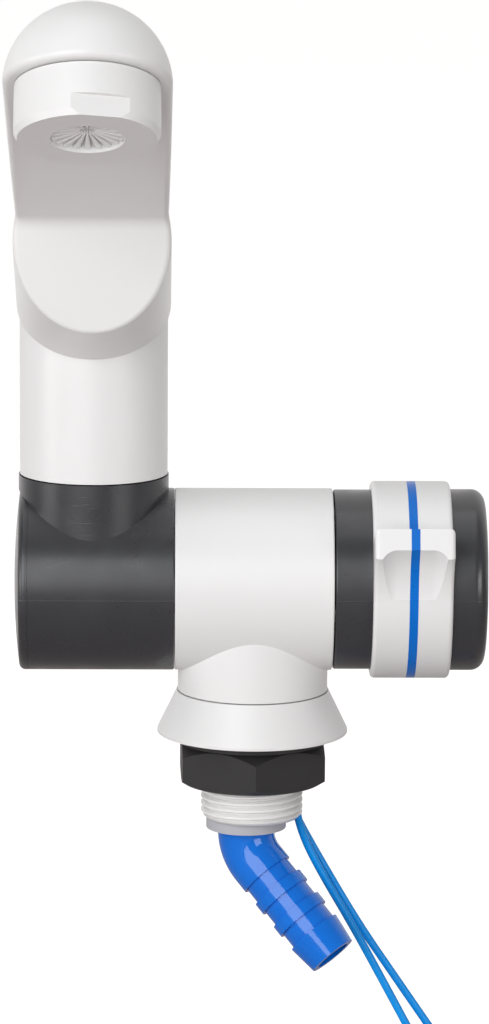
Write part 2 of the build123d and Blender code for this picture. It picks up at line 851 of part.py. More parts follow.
with BuildPart() as pivot_journal:
    barrel_disc(-barrel_half, journal_collar_end, collar_fit_diameter)
    barrel_disc(-journal_reach, -barrel_half, journal_diameter)
    free_end = pivot_journal.edges().filter_by(GeomType.CIRCLE).sort_by(Axis.X)[0]
    chamfer(free_end, length=journal_lead_in)
    barrel_disc(
        -column_offset - journal_bore_overrun,
        journal_collar_end,
        journal_bore,
        mode=Mode.SUBTRACT,
    )
    barrel_tube(
        -column_offset - cross_groove_width / 2,
        -column_offset + cross_groove_width / 2,
        journal_diameter + cut_margin,
        journal_diameter - 2 * cross_groove_depth,
        mode=Mode.SUBTRACT,
    )
    with BuildSketch(Plane((-column_offset, 0, barrel_height - stub_radius))):
        Circle(cross_hole_diameter / 2)
    extrude(amount=journal_diameter, mode=Mode.SUBTRACT)
    with BuildSketch(Plane((-column_offset, stub_radius, barrel_height), z_dir=(0, -1, 0))):
        Circle(cross_hole_diameter / 2)
    extrude(amount=journal_diameter, mode=Mode.SUBTRACT)
    for place in swivel_ring_places:
        barrel_tube(
            place - oring_groove / 2,
            place + oring_groove / 2,
            journal_diameter + cut_margin,
            journal_diameter - 2 * oring_section,
            mode=Mode.SUBTRACT,
        )
    barrel_tube(
        journal_ring_place - oring_groove / 2,
        journal_ring_place + oring_groove / 2,
        collar_fit_diameter + cut_margin,
        collar_fit_diameter - 2 * oring_section,
        mode=Mode.SUBTRACT,
    )
    barrel_tube(
        -clip_place - clip_thickness - press_gap,
        -clip_place + press_gap,
        journal_diameter + cut_margin,
        clip_groove_diameter,
        mode=Mode.SUBTRACT,
    )
save(pivot_journal.part, "pivot_journal")

with BuildPart() as swivel_orings:
    for place in swivel_ring_places:
        oring(across(place), journal_diameter, oring_section)
save(swivel_orings.part, "swivel_orings")

with BuildPart() as journal_oring:
    oring(across(journal_ring_place), collar_fit_diameter, oring_section)
save(journal_oring.part, "journal_oring")

with BuildPart() as swivel_washer:
    barrel_tube(
        -washer_place - swivel_washer_thickness,
        -washer_place,
        swivel_washer_diameter,
        journal_diameter + 2 * loose_gap,
    )
save(swivel_washer.part, "swivel_washer")

with BuildPart() as retaining_clip:
    barrel_tube(
        -clip_place - clip_thickness,
        -clip_place,
        clip_diameter,
        clip_groove_diameter + 2 * press_gap,
    )
    with BuildSketch(across(-clip_place)):
        with Locations((0, -clip_diameter / 2)):
            Rectangle(clip_opening, clip_diameter)
    extrude(amount=-clip_thickness, mode=Mode.SUBTRACT)
save(retaining_clip.part, "retaining_clip")

column_seam_height = barrel_height + column_seam_lift
collar_top = column_seam_height - face_gap
riser_foot = barrel_height + journal_diameter / 2 + riser_foot_wall
pocket_bottom = riser_foot + riser_socket_depth
with BuildPart() as swivel_housing:
    barrel_disc(-swivel_end, -barrel_half - swivel_gap, barrel_diameter)
    seam_edge = swivel_housing.edges().filter_by(GeomType.CIRCLE).sort_by(Axis.X)[-1]
    fillet(seam_edge, radius=moulded_edge)
    upright_disc(barrel_height, collar_top, swivel_collar_diameter, x=-column_offset)
    # The collar stands out past the housing's end, so it is cut round over the cap
    barrel_disc(
        -column_offset - column_diameter,
        -swivel_end,
        barrel_diameter + 2 * loose_gap,
        mode=Mode.SUBTRACT,
    )
    barrel_disc(
        -recess_start, -barrel_half, journal_diameter + 2 * running_gap, mode=Mode.SUBTRACT
    )
    barrel_disc(-swivel_end, -recess_start, recess_diameter, mode=Mode.SUBTRACT)
    upright_disc(
        pocket_bottom,
        collar_top + cut_margin,
        column_spigot_diameter + 2 * press_gap,
        x=-column_offset,
        mode=Mode.SUBTRACT,
    )
    upright_disc(
        riser_foot - loose_gap,
        pocket_bottom,
        riser_diameter + 2 * press_gap,
        x=-column_offset,
        mode=Mode.SUBTRACT,
    )
    upright_disc(barrel_height, riser_foot, riser_bore, x=-column_offset, mode=Mode.SUBTRACT)
save(swivel_housing.part, "swivel_housing")

pivot_cap_start = swivel_end + press_gap
with BuildPart() as pivot_cap:
    domed_cap(-pivot_cap_start, -pivot_cap_end, barrel_radius, pivot_cap_corner, pivot_cap_dome)
    barrel_tube(
        -pivot_cap_start,
        -pivot_cap_start + pivot_cap_spigot,
        recess_diameter - 2 * press_gap,
        recess_diameter - 2 * cap_wall,
    )
save(pivot_cap.part, "pivot_cap")


# Spout: column, riser tube, and the mitred head with its scooped underside

arm_slope = math.radians(arm_angle)
underside_slope = math.radians(underside_angle)
mitre_height = column_seam_height + column_length
scoop_foot_height = mitre_height - scoop_foot_drop
riser_top = mitre_height + riser_top_lift
spigot_bottom = pocket_bottom + loose_gap
arm_direction = Vector(0, -math.cos(arm_slope), math.sin(arm_slope))
arm_lift = Vector(0, math.sin(arm_slope), math.cos(arm_slope))
mitre_point = Vector(-column_offset, 0, mitre_height)
mitre_plane = Plane(
    origin=mitre_point, z_dir=(0, -math.cos(arm_slope), 1 + math.sin(arm_slope))
)
dome_centre = mitre_point + arm_direction * arm_length
pour_direction = Vector(0, -math.sin(underside_slope), -math.cos(underside_slope))
pour_plane = Plane(origin=dome_centre, x_dir=(1, 0, 0), z_dir=pour_direction)
pour_axis = Axis(dome_centre, pour_direction)
mitre_tilt = math.pi / 4 - arm_slope / 2
plug_bottom = mitre_height - column_bore / 2 * math.tan(mitre_tilt) - head_plug_length
channel_start = mitre_point + arm_lift * channel_lift
channel_corner = channel_start + arm_direction * (channel_start.Y / -arm_direction.Y)


def pour_disc(start, end, diameter, mode=Mode.ADD):
    """Round bar or hole along the aerator's axis, measured down from the arm's underside."""
    with BuildSketch(pour_plane.offset(start)) as outline:
        Circle(diameter / 2)
    extrude(outline.sketch, amount=end - start, mode=mode)


def lies_on(edge, point, normal):
    """True where the whole edge lies in the plane through the point."""
    places = [edge @ share for share in (0, 0.3, 0.6, 1)]
    return all(abs((place - point).dot(normal)) < same_place for place in places)


def side_profile():
    """Upright plane through the spout: its own x is the model's Y and its own y is Z."""
    return Plane(origin=(-column_offset, 0, 0), x_dir=(0, 1, 0), z_dir=(1, 0, 0))


with BuildPart() as spout_column:
    upright_disc(
        column_seam_height,
        mitre_height + column_diameter,
        column_diameter,
        x=-column_offset,
    )
    split(bisect_by=mitre_plane, keep=Keep.BOTTOM)
    upright_disc(spigot_bottom, column_seam_height, column_spigot_diameter, x=-column_offset)
    upright_disc(
        spigot_bottom - cut_margin,
        column_seam_height + column_step_height,
        column_spigot_bore,
        x=-column_offset,
        mode=Mode.SUBTRACT,
    )
    upright_disc(
        column_seam_height + column_step_height,
        mitre_height + column_diameter,
        column_bore,
        x=-column_offset,
        mode=Mode.SUBTRACT,
    )
save(spout_column.part, "spout_column")

riser_ring_places = [riser_foot + riser_ring_inset, riser_top - riser_ring_inset]
riser_groove = riser_ring_section + 2 * press_gap
with BuildPart() as riser_tube:
    upright_disc(riser_foot, riser_top, riser_diameter, x=-column_offset)
    upright_disc(riser_foot, riser_top, riser_bore, x=-column_offset, mode=Mode.SUBTRACT)
    for place in riser_ring_places:
        with BuildSketch(Plane((-column_offset, 0, place - riser_groove / 2))):
            Circle(riser_diameter)
            Circle(riser_diameter / 2 - riser_ring_section, mode=Mode.SUBTRACT)
        extrude(amount=riser_groove, mode=Mode.SUBTRACT)
save(riser_tube.part, "riser_tube")

with BuildPart() as riser_orings:
    for place in riser_ring_places:
        oring(Plane((-column_offset, 0, place)), riser_diameter, riser_ring_section)
save(riser_orings.part, "riser_orings")

# Plug of the head, which goes down into the column
with BuildPart() as head_plug:
    upright_disc(
        plug_bottom,
        mitre_height + head_diameter,
        column_bore - 2 * press_gap,
        x=-column_offset,
    )
    split(bisect_by=mitre_plane, keep=Keep.BOTTOM)

with BuildPart() as spout_head:
    with BuildSketch(Plane(origin=mitre_point, x_dir=(1, 0, 0), z_dir=arm_direction)):
        Circle(head_diameter / 2)
    extrude(amount=arm_length)
    with BuildSketch(Plane(origin=mitre_point, x_dir=(1, 0, 0), z_dir=-arm_direction)):
        Circle(head_diameter / 2)
    extrude(amount=head_diameter / 2)
    split(bisect_by=mitre_plane, keep=Keep.TOP)
    with Locations(Location(dome_centre)):
        Sphere(head_diameter / 2)
    # Scoop under the arm: an upright face above the column, then the flat underside
    underside_drop = math.tan(underside_slope)
    scoop_top = (
        -scoop_top_reach,
        dome_centre.Z + (dome_centre.Y + scoop_top_reach) * underside_drop,
    )
    far = dome_centre.Y - head_diameter
    with BuildSketch(side_profile()) as scoop_outline:
        Polygon(
            (-scoop_foot_reach, scoop_foot_height),
            scoop_top,
            (far, dome_centre.Z + (dome_centre.Y - far) * underside_drop),
            (far, scoop_foot_height - scoop_cutter_drop),
            (-scoop_foot_reach, scoop_foot_height - scoop_cutter_drop),
            align=None,
        )
        fillet(scoop_outline.vertices().sort_by_distance(scoop_top)[0], radius=scoop_fillet)
    extrude(amount=head_diameter, both=True, mode=Mode.SUBTRACT)
    # The sharp rim of the underside is rounded, and so is the foot of the scoop
    rim_start = -scoop_top_reach - scoop_rim_reach
    rim_end = -scoop_foot_reach + cut_margin
    curved = [edge for edge in spout_head.edges() if edge.geom_type != GeomType.LINE]
    scoop_rim = [edge for edge in curved if rim_start < (edge @ 0.5).Y < rim_end]
    underside_rim = [
        edge for edge in spout_head.edges() if lies_on(edge, dome_centre, pour_direction)
    ]
    fillet(underside_rim + scoop_rim, radius=head_edge)
    # The plug, with the socket for the riser tube
    add(head_plug.part)
    upright_disc(
        plug_bottom,
        riser_top + loose_gap,
        riser_diameter + 2 * press_gap,
        x=-column_offset,
        mode=Mode.SUBTRACT,
    )
    # Waterway: up from the riser tube, along the arm above its middle, and down to the aerator
    with BuildSketch(Plane((-column_offset, 0, riser_top))):
        Circle(channel_diameter / 2)
    extrude(amount=channel_corner.Z - riser_top, mode=Mode.SUBTRACT)
    with Locations(Location(channel_corner)):
        Sphere(channel_diameter / 2, mode=Mode.SUBTRACT)
    with BuildSketch(Plane(origin=channel_corner, x_dir=(1, 0, 0), z_dir=arm_direction)):
        Circle(channel_diameter / 2)
    extrude(amount=arm_length, mode=Mode.SUBTRACT)
    pour_disc(0, nozzle_length, nozzle_diameter)
    pour_disc(-nozzle_length, nozzle_length, nozzle_bore, mode=Mode.SUBTRACT)
save(spout_head.part, "spout_head")


# Aerator: rubber ring, screen and star insert in a round housing with a spanner flat

nozzle_end = nozzle_length + press_gap
rubber_end = nozzle_end + rubber_thickness
screen_start = rubber_end + press_gap
screen_end = screen_start + screen_thickness
insert_start = screen_end + press_gap
insert_end = insert_start + insert_height
socket_diameter = nozzle_diameter + 2 * running_gap

with BuildPart() as aerator_housing:
    pour_disc(face_gap, aerator_height, aerator_diameter)
    lower_face = aerator_housing.faces().sort_by(pour_axis)[-1]
    lower_edge = lower_face.edges()[0]
    chamfer(lower_edge, length=aerator_chamfer_inset, length2=aerator_chamfer, reference=lower_face)
    pour_disc(0, insert_start, socket_diameter, mode=Mode.SUBTRACT)
    pour_disc(0, insert_end, insert_diameter + 2 * press_gap, mode=Mode.SUBTRACT)
    pour_disc(0, aerator_height, aerator_mouth, mode=Mode.SUBTRACT)
    flat_distance = math.sqrt((aerator_diameter / 2) ** 2 - (spanner_flat_width / 2) ** 2)
    with BuildSketch(pour_plane.offset(spanner_flat_start)) as spanner_flat:
        with Locations(polar(flat_distance + aerator_diameter / 4, 90 - spanner_flat_turn)):
            Rectangle(aerator_diameter / 2, aerator_diameter / 2, rotation=-spanner_flat_turn)
    extrude(amount=aerator_height - spanner_flat_start, mode=Mode.SUBTRACT)
save(aerator_housing.part, "aerator_housing")

with BuildPart() as aerator_washer:
    pour_disc(nozzle_end, rubber_end, nozzle_diameter)
    pour_disc(nozzle_end, rubber_end, nozzle_bore, mode=Mode.SUBTRACT)
save(aerator_washer.part, "aerator_washer")

with BuildPart() as aerator_screen:
    with BuildSketch(pour_plane.offset(screen_start)):
        Circle(nozzle_diameter / 2)
        with HexLocations(screen_pitch / 2, screen_row_count, screen_row_count):
            Circle(screen_hole / 2, mode=Mode.SUBTRACT)
    extrude(amount=screen_thickness)
save(aerator_screen.part, "aerator_screen")

with BuildPart() as aerator_insert:
    pour_disc(insert_start, insert_end, insert_diameter)
    with BuildSketch(pour_plane.offset(insert_start)):
        with PolarLocations(star_slot_radius, star_slot_count):
            SlotOverall(star_slot_length, star_slot_width)
    extrude(amount=insert_height, mode=Mode.SUBTRACT)
save(aerator_insert.part, "aerator_insert")


# Hose tail: spigot with its rings in the shank, an elbow, and barbs for the hose

tail_top = shank_bottom - running_gap
azimuth = math.radians(tail_azimuth)
bend = math.radians(tail_bend)
tail_direction = Vector(
    math.sin(bend) * math.cos(azimuth), math.sin(bend) * math.sin(azimuth), -math.cos(bend)
)
tail_corner = Vector(-inlet_offset, 0, tail_top - tail_bend_drop)
elbow_end = tail_corner + tail_direction * tail_bend_reach
spigot_top = shank_bottom + tail_spigot_length
tail_ring_places = [spigot_top - tail_ring_inset, spigot_top - tail_ring_inset - tail_ring_spacing]
tail_groove = tail_ring_section + 2 * press_gap
tail_barbs_end = tail_barbs * tail_barb_pitch + tail_barb_start
tail_end = tail_barbs_end + tail_tip_length
barb_plane = Plane(
    origin=elbow_end, x_dir=tail_direction, z_dir=tail_direction.cross(Vector(0, 0, 1)).normalized()
)


def inlet_groove(middle, thickness, diameter):
    """Ring groove round the spigot of the hose tail."""
    with BuildSketch(Plane((-inlet_offset, 0, middle - thickness / 2))) as outline:
        Circle(tail_spigot_diameter)
        Circle(diameter / 2, mode=Mode.SUBTRACT)
    extrude(outline.sketch, amount=thickness, mode=Mode.SUBTRACT)


with BuildPart() as hose_tail:
    upright_disc(tail_top, spigot_top, tail_spigot_diameter, x=-inlet_offset)
    chamfer(hose_tail.edges().sort_by(Axis.Z)[-1], length=moulded_edge)
    with BuildLine() as elbow_line:
        FilletPolyline((-inlet_offset, 0, tail_top), tail_corner, elbow_end, radius=tail_bend_radius)
    elbow_path = elbow_line.wire()
    round_cord(elbow_path, tail_diameter)
    with BuildSketch(barb_plane):
        with BuildLine():
            outline = [(0, 0), (0, tail_root_diameter / 2)]
            for barb in range(tail_barbs):
                barb_start = tail_barb_start + barb * tail_barb_pitch
                outline.append((barb_start, tail_root_diameter / 2))
                outline.append((barb_start, tail_diameter / 2))
                outline.append((barb_start + tail_barb_length, tail_diameter / 2))
                outline.append((barb_start + tail_barb_length, tail_root_diameter / 2))
            outline.append((tail_barbs_end, tail_root_diameter / 2))
            outline.append((tail_barbs_end, tail_diameter / 2))
            outline.append((tail_end, tail_tip_diameter / 2))
            outline.append((tail_end, 0))
            Polyline(*outline, close=True)
        make_face()
    revolve(axis=Axis(elbow_end, tail_direction))
    round_cord(elbow_path, tail_bore, mode=Mode.SUBTRACT)
    with BuildSketch(Plane(origin=elbow_end, z_dir=tail_direction)):
        Circle(tail_bore / 2)
    extrude(amount=tail_end, mode=Mode.SUBTRACT)
    upright_disc(
        tail_top - cut_margin,
        spigot_top,
        tail_spigot_bore,
        x=-inlet_offset,
        mode=Mode.SUBTRACT,
    )
    for place in tail_ring_places:
        inlet_groove(place, tail_groove, tail_spigot_diameter - 2 * tail_ring_section)
    inlet_groove(
        snap_ring_z, snap_ring_thickness + 2 * press_gap, tail_spigot_diameter - 2 * snap_ring_depth
    )
save(hose_tail.part, "hose_tail")

with BuildPart() as tail_orings:
    for place in tail_ring_places:
        oring(Plane((-inlet_offset, 0, place)), tail_spigot_diameter, tail_ring_section)
save(tail_orings.part, "tail_orings")

with BuildPart() as tail_snap_ring:
    with BuildSketch(Plane((-inlet_offset, 0, snap_ring_z - snap_ring_thickness / 2))):
        Circle(tail_spigot_diameter / 2 + snap_ring_depth)
        Circle(tail_spigot_diameter / 2 - snap_ring_depth + press_gap, mode=Mode.SUBTRACT)
        with Locations((0, -tail_spigot_diameter / 2)):
            Rectangle(snap_ring_opening, tail_spigot_diameter / 2, mode=Mode.SUBTRACT)
    extrude(amount=snap_ring_thickness)
save(tail_snap_ring.part, "tail_snap_ring")


# Switch cable: two wires, each with its coil, its bare end and one tie round both


def cord_path(points):
    """Straight runs joined by arcs that touch both runs; the arcs' radii are printed."""
    points = [Vector(*point) for point in points]
    radii = []
    reached = points[0]
    for before, corner, after in zip(points, points[1:], points[2:]):
        arriving = (corner - before).normalized()
        leaving = (after - corner).normalized()
        trim = bend_share * min((corner - before).length, (after - corner).length)
        arc_start = corner - arriving * trim
        arc_end = corner + leaving * trim
        Line(reached, arc_start)
        TangentArc(arc_start, arc_end, tangent=arriving)
        radii.append(trim / math.tan(math.radians(arriving.get_angle(leaving) / 2)))
        reached = arc_end
    Line(reached, points[-1])
    print("bend radii", [round(radius, 1) for radius in radii])


def coil_point(front_y, turns):
    """Place on the wound coil, which starts at its left side and goes down first."""
    angle = 2 * math.pi * turns
    return Vector(
        coil_centre_x - coil_radius * math.cos(angle),
        front_y + 2 * coil_step * turns,
        coil_centre_z - coil_radius * math.sin(angle),
    )


def coil_direction(turns):
    """Direction of the wound wire; the first and the last point leave straight down."""
    if turns in (0, coil_turns):
        return Vector(0, 0, -1)
    angle = 2 * math.pi * turns
    slope = 2 * coil_step / (2 * math.pi * coil_radius)
    return Vector(math.sin(angle), slope, -math.cos(angle)).normalized()


def two_arcs(start, start_direction, end, end_direction):
    """Two arcs that meet smoothly and keep the directions at both ends."""
    chord = end - start
    both = start_direction + end_direction
    squared = 2 * (start_direction.dot(end_direction) - 1)
    linear = -2 * chord.dot(both)
    constant = chord.dot(chord)
    reach = (-linear - math.sqrt(linear * linear - 4 * squared * constant)) / (2 * squared)
    if reach < 0:
        reach = (-linear + math.sqrt(linear * linear - 4 * squared * constant)) / (2 * squared)
    meeting = (start + start_direction * reach + end - end_direction * reach) * 0.5
    first = TangentArc(start, meeting, tangent=start_direction)
    TangentArc(meeting, end, tangent=first % 1)


def coil_path(front_y, first_turn):
    """The whole coil: a short straight lead in, about two turns, and a short straight lead out."""
    quarters = [step / 4 for step in range(1, 4 * coil_turns + 1)]
    steps = [first_turn, *quarters]
    entry = coil_point(front_y, first_turn)
    Line(entry - coil_direction(first_turn) * wire_diameter, entry)
    for before, after in zip(steps, steps[1:]):
        two_arcs(
            coil_point(front_y, before),
            coil_direction(before),
            coil_point(front_y, after),
            coil_direction(after),
        )
    leaving = coil_point(front_y, coil_turns)
    Line(leaving, leaving + coil_direction(coil_turns) * wire_diameter)


with BuildPart() as switch_leads:
    with BuildSketch(Plane.XY.offset(wire_exit_z)):
        with Locations(*wire_places):
            Circle(wire_diameter / 2)
    extrude(amount=barrel_height - tag_drop - tag_width / 2 - wire_exit_z)
save(switch_leads.part, "switch_leads")

wire_sets = [
    (
        "1",
        wire_places[0],
        front_wire_route,
        coil_front_y,
        front_wire_entry,
        front_wire_last_run,
    ),
    (
        "2",
        wire_places[1],
        back_wire_route,
        coil_front_y + coil_step,
        back_wire_entry,
        back_wire_last_run,
    ),
]
section_area = math.pi * wire_diameter ** 2 / 4
for number, place, route, front_y, first_turn, last_run in wire_sets:
    in_slot = (place[0], place[1], wire_exit_z)
    below_slot = (place[0], place[1], wire_leaves_slot_z)
    arriving = coil_direction(first_turn)
    finish = coil_point(front_y, first_turn) - arriving * wire_diameter
    last_corner = finish - arriving * last_run
    with BuildPart() as free_wire:
        with BuildLine() as wire_line:
            cord_path([in_slot, below_slot, *route, last_corner, finish])
        round_cord(wire_line.wire(), wire_diameter)
    save(free_wire.part, f"wire_{number}")
    print("wire", number, free_wire.part.volume, section_area * wire_line.wire().length)
    with BuildPart() as wire_coil:
        with BuildLine() as coil_line:
            coil_path(front_y, first_turn)
        round_cord(coil_line.wire(), wire_diameter)
    save(wire_coil.part, f"wire_coil_{number}")
    print("coil", number, wire_coil.part.volume, section_area * coil_line.wire().length)
    end_point = coil_point(front_y, coil_turns) + coil_direction(coil_turns) * wire_diameter
    with BuildPart() as wire_end:
        with BuildSketch(Plane(end_point)):
            Circle(strand_diameter / 2)
        extrude(amount=-stripped_length)
    save(wire_end.part, f"wire_end_{number}")

# Least gap between turns, measured on points along both coils
samples_per_turn = 40
coil_steps = [step / samples_per_turn for step in range(samples_per_turn * coil_turns + 1)]
front_points = [coil_point(coil_front_y, turns) for turns in coil_steps]
back_points = [coil_point(coil_front_y + coil_step, turns) for turns in coil_steps]
own_gap = min(
    (one - other).length
    for place, one in enumerate(front_points)
    for other in front_points[place + samples_per_turn // 2 :]
)
pair_gap = min((one - other).length for one in front_points for other in back_points)
print("coil gaps", round(own_gap - wire_diameter, 2), round(pair_gap - wire_diameter, 2))

# The tie goes round all four runs of wire at the top of the coil
tie_first = coil_point(coil_front_y, 0.75)
tie_last = coil_point(coil_front_y + coil_step, 1.75)
tie_middle = (tie_first + tie_last) * 0.5
tie_inner_width = tie_last.Y - tie_first.Y + wire_diameter + 2 * tie_gap
tie_inner_height = wire_diameter + 2 * tie_gap
head_lift = (tie_inner_height + tie_head_height) / 2
with BuildPart() as cable_tie:
    with Locations(tie_middle):
        Box(tie_width, tie_inner_width + 2 * tie_thickness, tie_inner_height + 2 * tie_thickness)
        Box(tie_width, tie_inner_width, tie_inner_height, mode=Mode.SUBTRACT)
    with Locations(tie_middle + Vector(0, 0, head_lift)):
        Box(tie_head, tie_head, tie_head_height)
save(cable_tie.part, "cable_tie")
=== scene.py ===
# %% [markdown]
# # A cold water tap, dressed in Blender
#
# The tap's solid pieces come in as a fixed frame, each in its own place and in metres.
# This script gives every piece its finish, and makes the few pieces that solids can't
# show well: the hanging wires, their bare copper ends, the cable tie and the star
# under the aerator. It also sets up the camera, the floor and the lamps.

import json
import math

import bmesh
import bpy
from mathutils import Matrix, Vector


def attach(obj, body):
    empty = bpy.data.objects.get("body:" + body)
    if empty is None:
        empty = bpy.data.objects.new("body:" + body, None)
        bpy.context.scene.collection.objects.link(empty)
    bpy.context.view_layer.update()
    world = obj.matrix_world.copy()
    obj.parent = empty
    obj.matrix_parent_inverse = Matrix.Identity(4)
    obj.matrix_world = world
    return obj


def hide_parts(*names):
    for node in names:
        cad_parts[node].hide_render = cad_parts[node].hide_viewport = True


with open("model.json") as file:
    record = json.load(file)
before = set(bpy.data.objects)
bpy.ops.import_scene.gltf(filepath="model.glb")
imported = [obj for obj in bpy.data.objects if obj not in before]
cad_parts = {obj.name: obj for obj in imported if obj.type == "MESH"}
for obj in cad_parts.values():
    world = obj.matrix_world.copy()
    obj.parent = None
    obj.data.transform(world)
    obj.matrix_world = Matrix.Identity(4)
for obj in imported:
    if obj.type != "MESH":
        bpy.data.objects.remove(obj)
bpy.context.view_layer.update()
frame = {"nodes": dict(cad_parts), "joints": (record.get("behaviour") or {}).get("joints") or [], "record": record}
nodes = frame["nodes"]

# %% [markdown]
# ## Camera
#
# The photograph looks slightly down on the tap from more than a metre away, which a long
# lens shows with little perspective. The camera's place was found by matching points
# of the tap to the photograph. The frame is 489 by 1024, so the sensor's width
# belongs to the long, upright side.

# %% Camera
FRAME_HEIGHT = 1024
FOCAL_PIXELS = 5100.4
SENSOR_WIDTH = 36.0
NEAREST_SEEN = 0.05
FARTHEST_SEEN = 20.0
CAMERA_PLACE = Vector((-0.02486, -1.29227, 0.29845))
CAMERA_TARGET = Vector((-0.00236, 0.0, 0.05756))
CAMERA_ROLL = math.radians(0.358)

camera_data = bpy.data.cameras.new("product_camera")
camera_data.sensor_width = SENSOR_WIDTH
camera_data.lens = FOCAL_PIXELS * SENSOR_WIDTH / FRAME_HEIGHT
camera_data.clip_start = NEAREST_SEEN
camera_data.clip_end = FARTHEST_SEEN
camera = bpy.data.objects.new("product_camera", camera_data)
bpy.context.scene.collection.objects.link(camera)

forward = (CAMERA_TARGET - CAMERA_PLACE).normalized()
level_right = forward.cross(Vector((0, 0, 1))).normalized()
level_up = level_right.cross(forward)
right = level_right * math.cos(CAMERA_ROLL) + level_up * math.sin(CAMERA_ROLL)
up = level_up * math.cos(CAMERA_ROLL) - level_right * math.sin(CAMERA_ROLL)
turn = Matrix((right, up, -forward)).transposed()
camera.matrix_world = Matrix.Translation(CAMERA_PLACE) @ turn.to_4x4()
bpy.context.scene.camera = camera
print("lens", round(camera_data.lens, 1), "mm")

# %% [markdown]
# ## Switch wires
#
# Two single wires leave the slot in the threaded shank and hang down to the right.
# They switch a small pump. The photograph cuts them off at its lower edge, so the rest
# is wound up below it. Each wire is one curve that a row of points steers. A spline of
# order 3 runs smoothly past them, as a soft wire does, where straight pieces with
# rounded corners would look like bent rod.

# %% Wire routes
MM = 0.001
WIRE_RADIUS = 0.00105
WIRE_ROUNDNESS = 5

# The coil and the routes are in millimetres
COIL_CENTRE = Vector((68.0, 0, -104.0))
COIL_RADIUS = 12.0
COIL_STEP = 2.7
COIL_TURNS = 2
POINTS_PER_TURN = 16
STRAIGHT_END = 2.1

# Each wire: its route, its front place in the coil, and the turn where it joins it
ROUTES = {
    "front_wire": (
        [
            (11.371, 3.153, -13.0),
            (11.371, 3.153, -20.8),
            (13.4, 4.2, -29.2),
            (18.1, 4.5, -38.8),
            (26.6, 4.5, -53.3),
            (35.3, 4.5, -69.4),
            (42.3, 4.6, -82.6),
            (51.57, 4.59, -99.54),
        ],
        5.0,
        1 / 12,
    ),
    "back_wire": (
        [
            (10.560, 5.265, -13.0),
            (10.560, 5.265, -21.7),
            (13.8, 6.8, -28.4),
            (19.3, 7.2, -38.3),
            (28.7, 7.2, -54.3),
            (38.2, 7.2, -68.3),
            (48.5, 7.3, -83.5),
            (56.0, 7.7, -94.0),
        ],
        7.7,
        0.0,
    ),
}


def coil_place(front_y, turns, reach=COIL_RADIUS):
    """Place on the wound part of a wire, at a distance from the coil's middle."""
    angle = 2 * math.pi * turns
    return (
        COIL_CENTRE.x - reach * math.cos(angle),
        front_y + 2 * COIL_STEP * turns,
        COIL_CENTRE.z - reach * math.sin(angle),
    )


def wound_points(front_y, first_turn):
    """Corners outside the coil, between which the spline touches its circle."""
    count = round((COIL_TURNS - first_turn) * POINTS_PER_TURN)
    step = (COIL_TURNS - first_turn) / count
    reach = COIL_RADIUS / math.cos(math.pi * step)
    return [coil_place(front_y, first_turn + (place + 0.5) * step, reach) for place in range(count)]


def wire_tip(front_y):
    """The insulation's cut end, straight below the end of the last turn."""
    last = coil_place(front_y, COIL_TURNS)
    return (last[0], last[1], last[2] - STRAIGHT_END)


# %% Wires as curves
def hang_wire(name, route, front_y, first_turn):
    """One wire: its route down, the turns of its coil, and its straight end."""
    points = [*route, *wound_points(front_y, first_turn)]
    points += [coil_place(front_y, COIL_TURNS), wire_tip(front_y)]
    curve = bpy.data.curves.new(name, "CURVE")
    curve.dimensions = "3D"
    spline = curve.splines.new("NURBS")
    spline.points.add(len(points) - 1)
    for place, point in zip(points, spline.points):
        point.co = (place[0] * MM, place[1] * MM, place[2] * MM, 1)
    spline.order_u = 3
    spline.use_endpoint_u = True
    curve.bevel_depth = WIRE_RADIUS
    curve.bevel_resolution = WIRE_ROUNDNESS
    curve.use_fill_caps = True
    wire = bpy.data.objects.new(name, curve)
    bpy.context.scene.collection.objects.link(wire)
    runs_length = sum((Vector(b) - Vector(a)).length for a, b in zip(points, points[1:]))
    print(name, "has", len(points), "points and runs of", round(runs_length, 1), "mm")
    return wire


wires = {name: hang_wire(name, *way) for name, way in ROUTES.items()}

# %% [markdown]
# ## Bare ends of the wires
#
# Each wire ends in a few millimetres of stripped copper, seven thin strands laid round
# each other. A strand is a small disc that is spun about the bundle's middle while it
# also moves down, so it comes out as a long twisted thread.

# %% Bare ends
STRAND_RADIUS = 0.0002
STRAND_SIDES = 8
OUTER_STRANDS = 6
BARE_LENGTH = 0.006
TWIST = math.radians(150)
TWIST_STEPS = 16


def keep_mesh(bm, name):
    """Turn a finished bmesh into an object whose mesh lies where it belongs."""
    mesh = bpy.data.meshes.new(name)
    bm.to_mesh(mesh)
    bm.free()
    piece = bpy.data.objects.new(name, mesh)
    bpy.context.scene.collection.objects.link(piece)
    print(name, "has", len(mesh.polygons), "faces")
    return piece


def bare_end(name, top):
    """Six strands round a seventh, straight down from the cut insulation."""
    middle = (0, 0)
    ring = [math.tau * strand / OUTER_STRANDS for strand in range(OUTER_STRANDS)]
    reach = 2 * STRAND_RADIUS
    offsets = [(reach * math.cos(angle), reach * math.sin(angle)) for angle in ring]
    bm = bmesh.new()
    for across, along in [*offsets, middle]:
        place = Matrix.Translation(top + Vector((across, along, 0)))
        disc = bmesh.ops.create_circle(
            bm, cap_ends=True, segments=STRAND_SIDES, radius=STRAND_RADIUS, matrix=place
        )
        faces = list({face for vert in disc["verts"] for face in vert.link_faces})
        bmesh.ops.spin(
            bm,
            geom=disc["verts"] + faces,
            cent=top,
            axis=(0, 0, 1),
            dvec=(0, 0, -BARE_LENGTH / TWIST_STEPS),
            angle=TWIST,
            steps=TWIST_STEPS,
        )
    bmesh.ops.holes_fill(bm, edges=bm.edges, sides=0)
    bmesh.ops.recalc_face_normals(bm, faces=bm.faces)
    for face in bm.faces:
        face.smooth = len(face.verts) == 4
    return keep_mesh(bm, name)


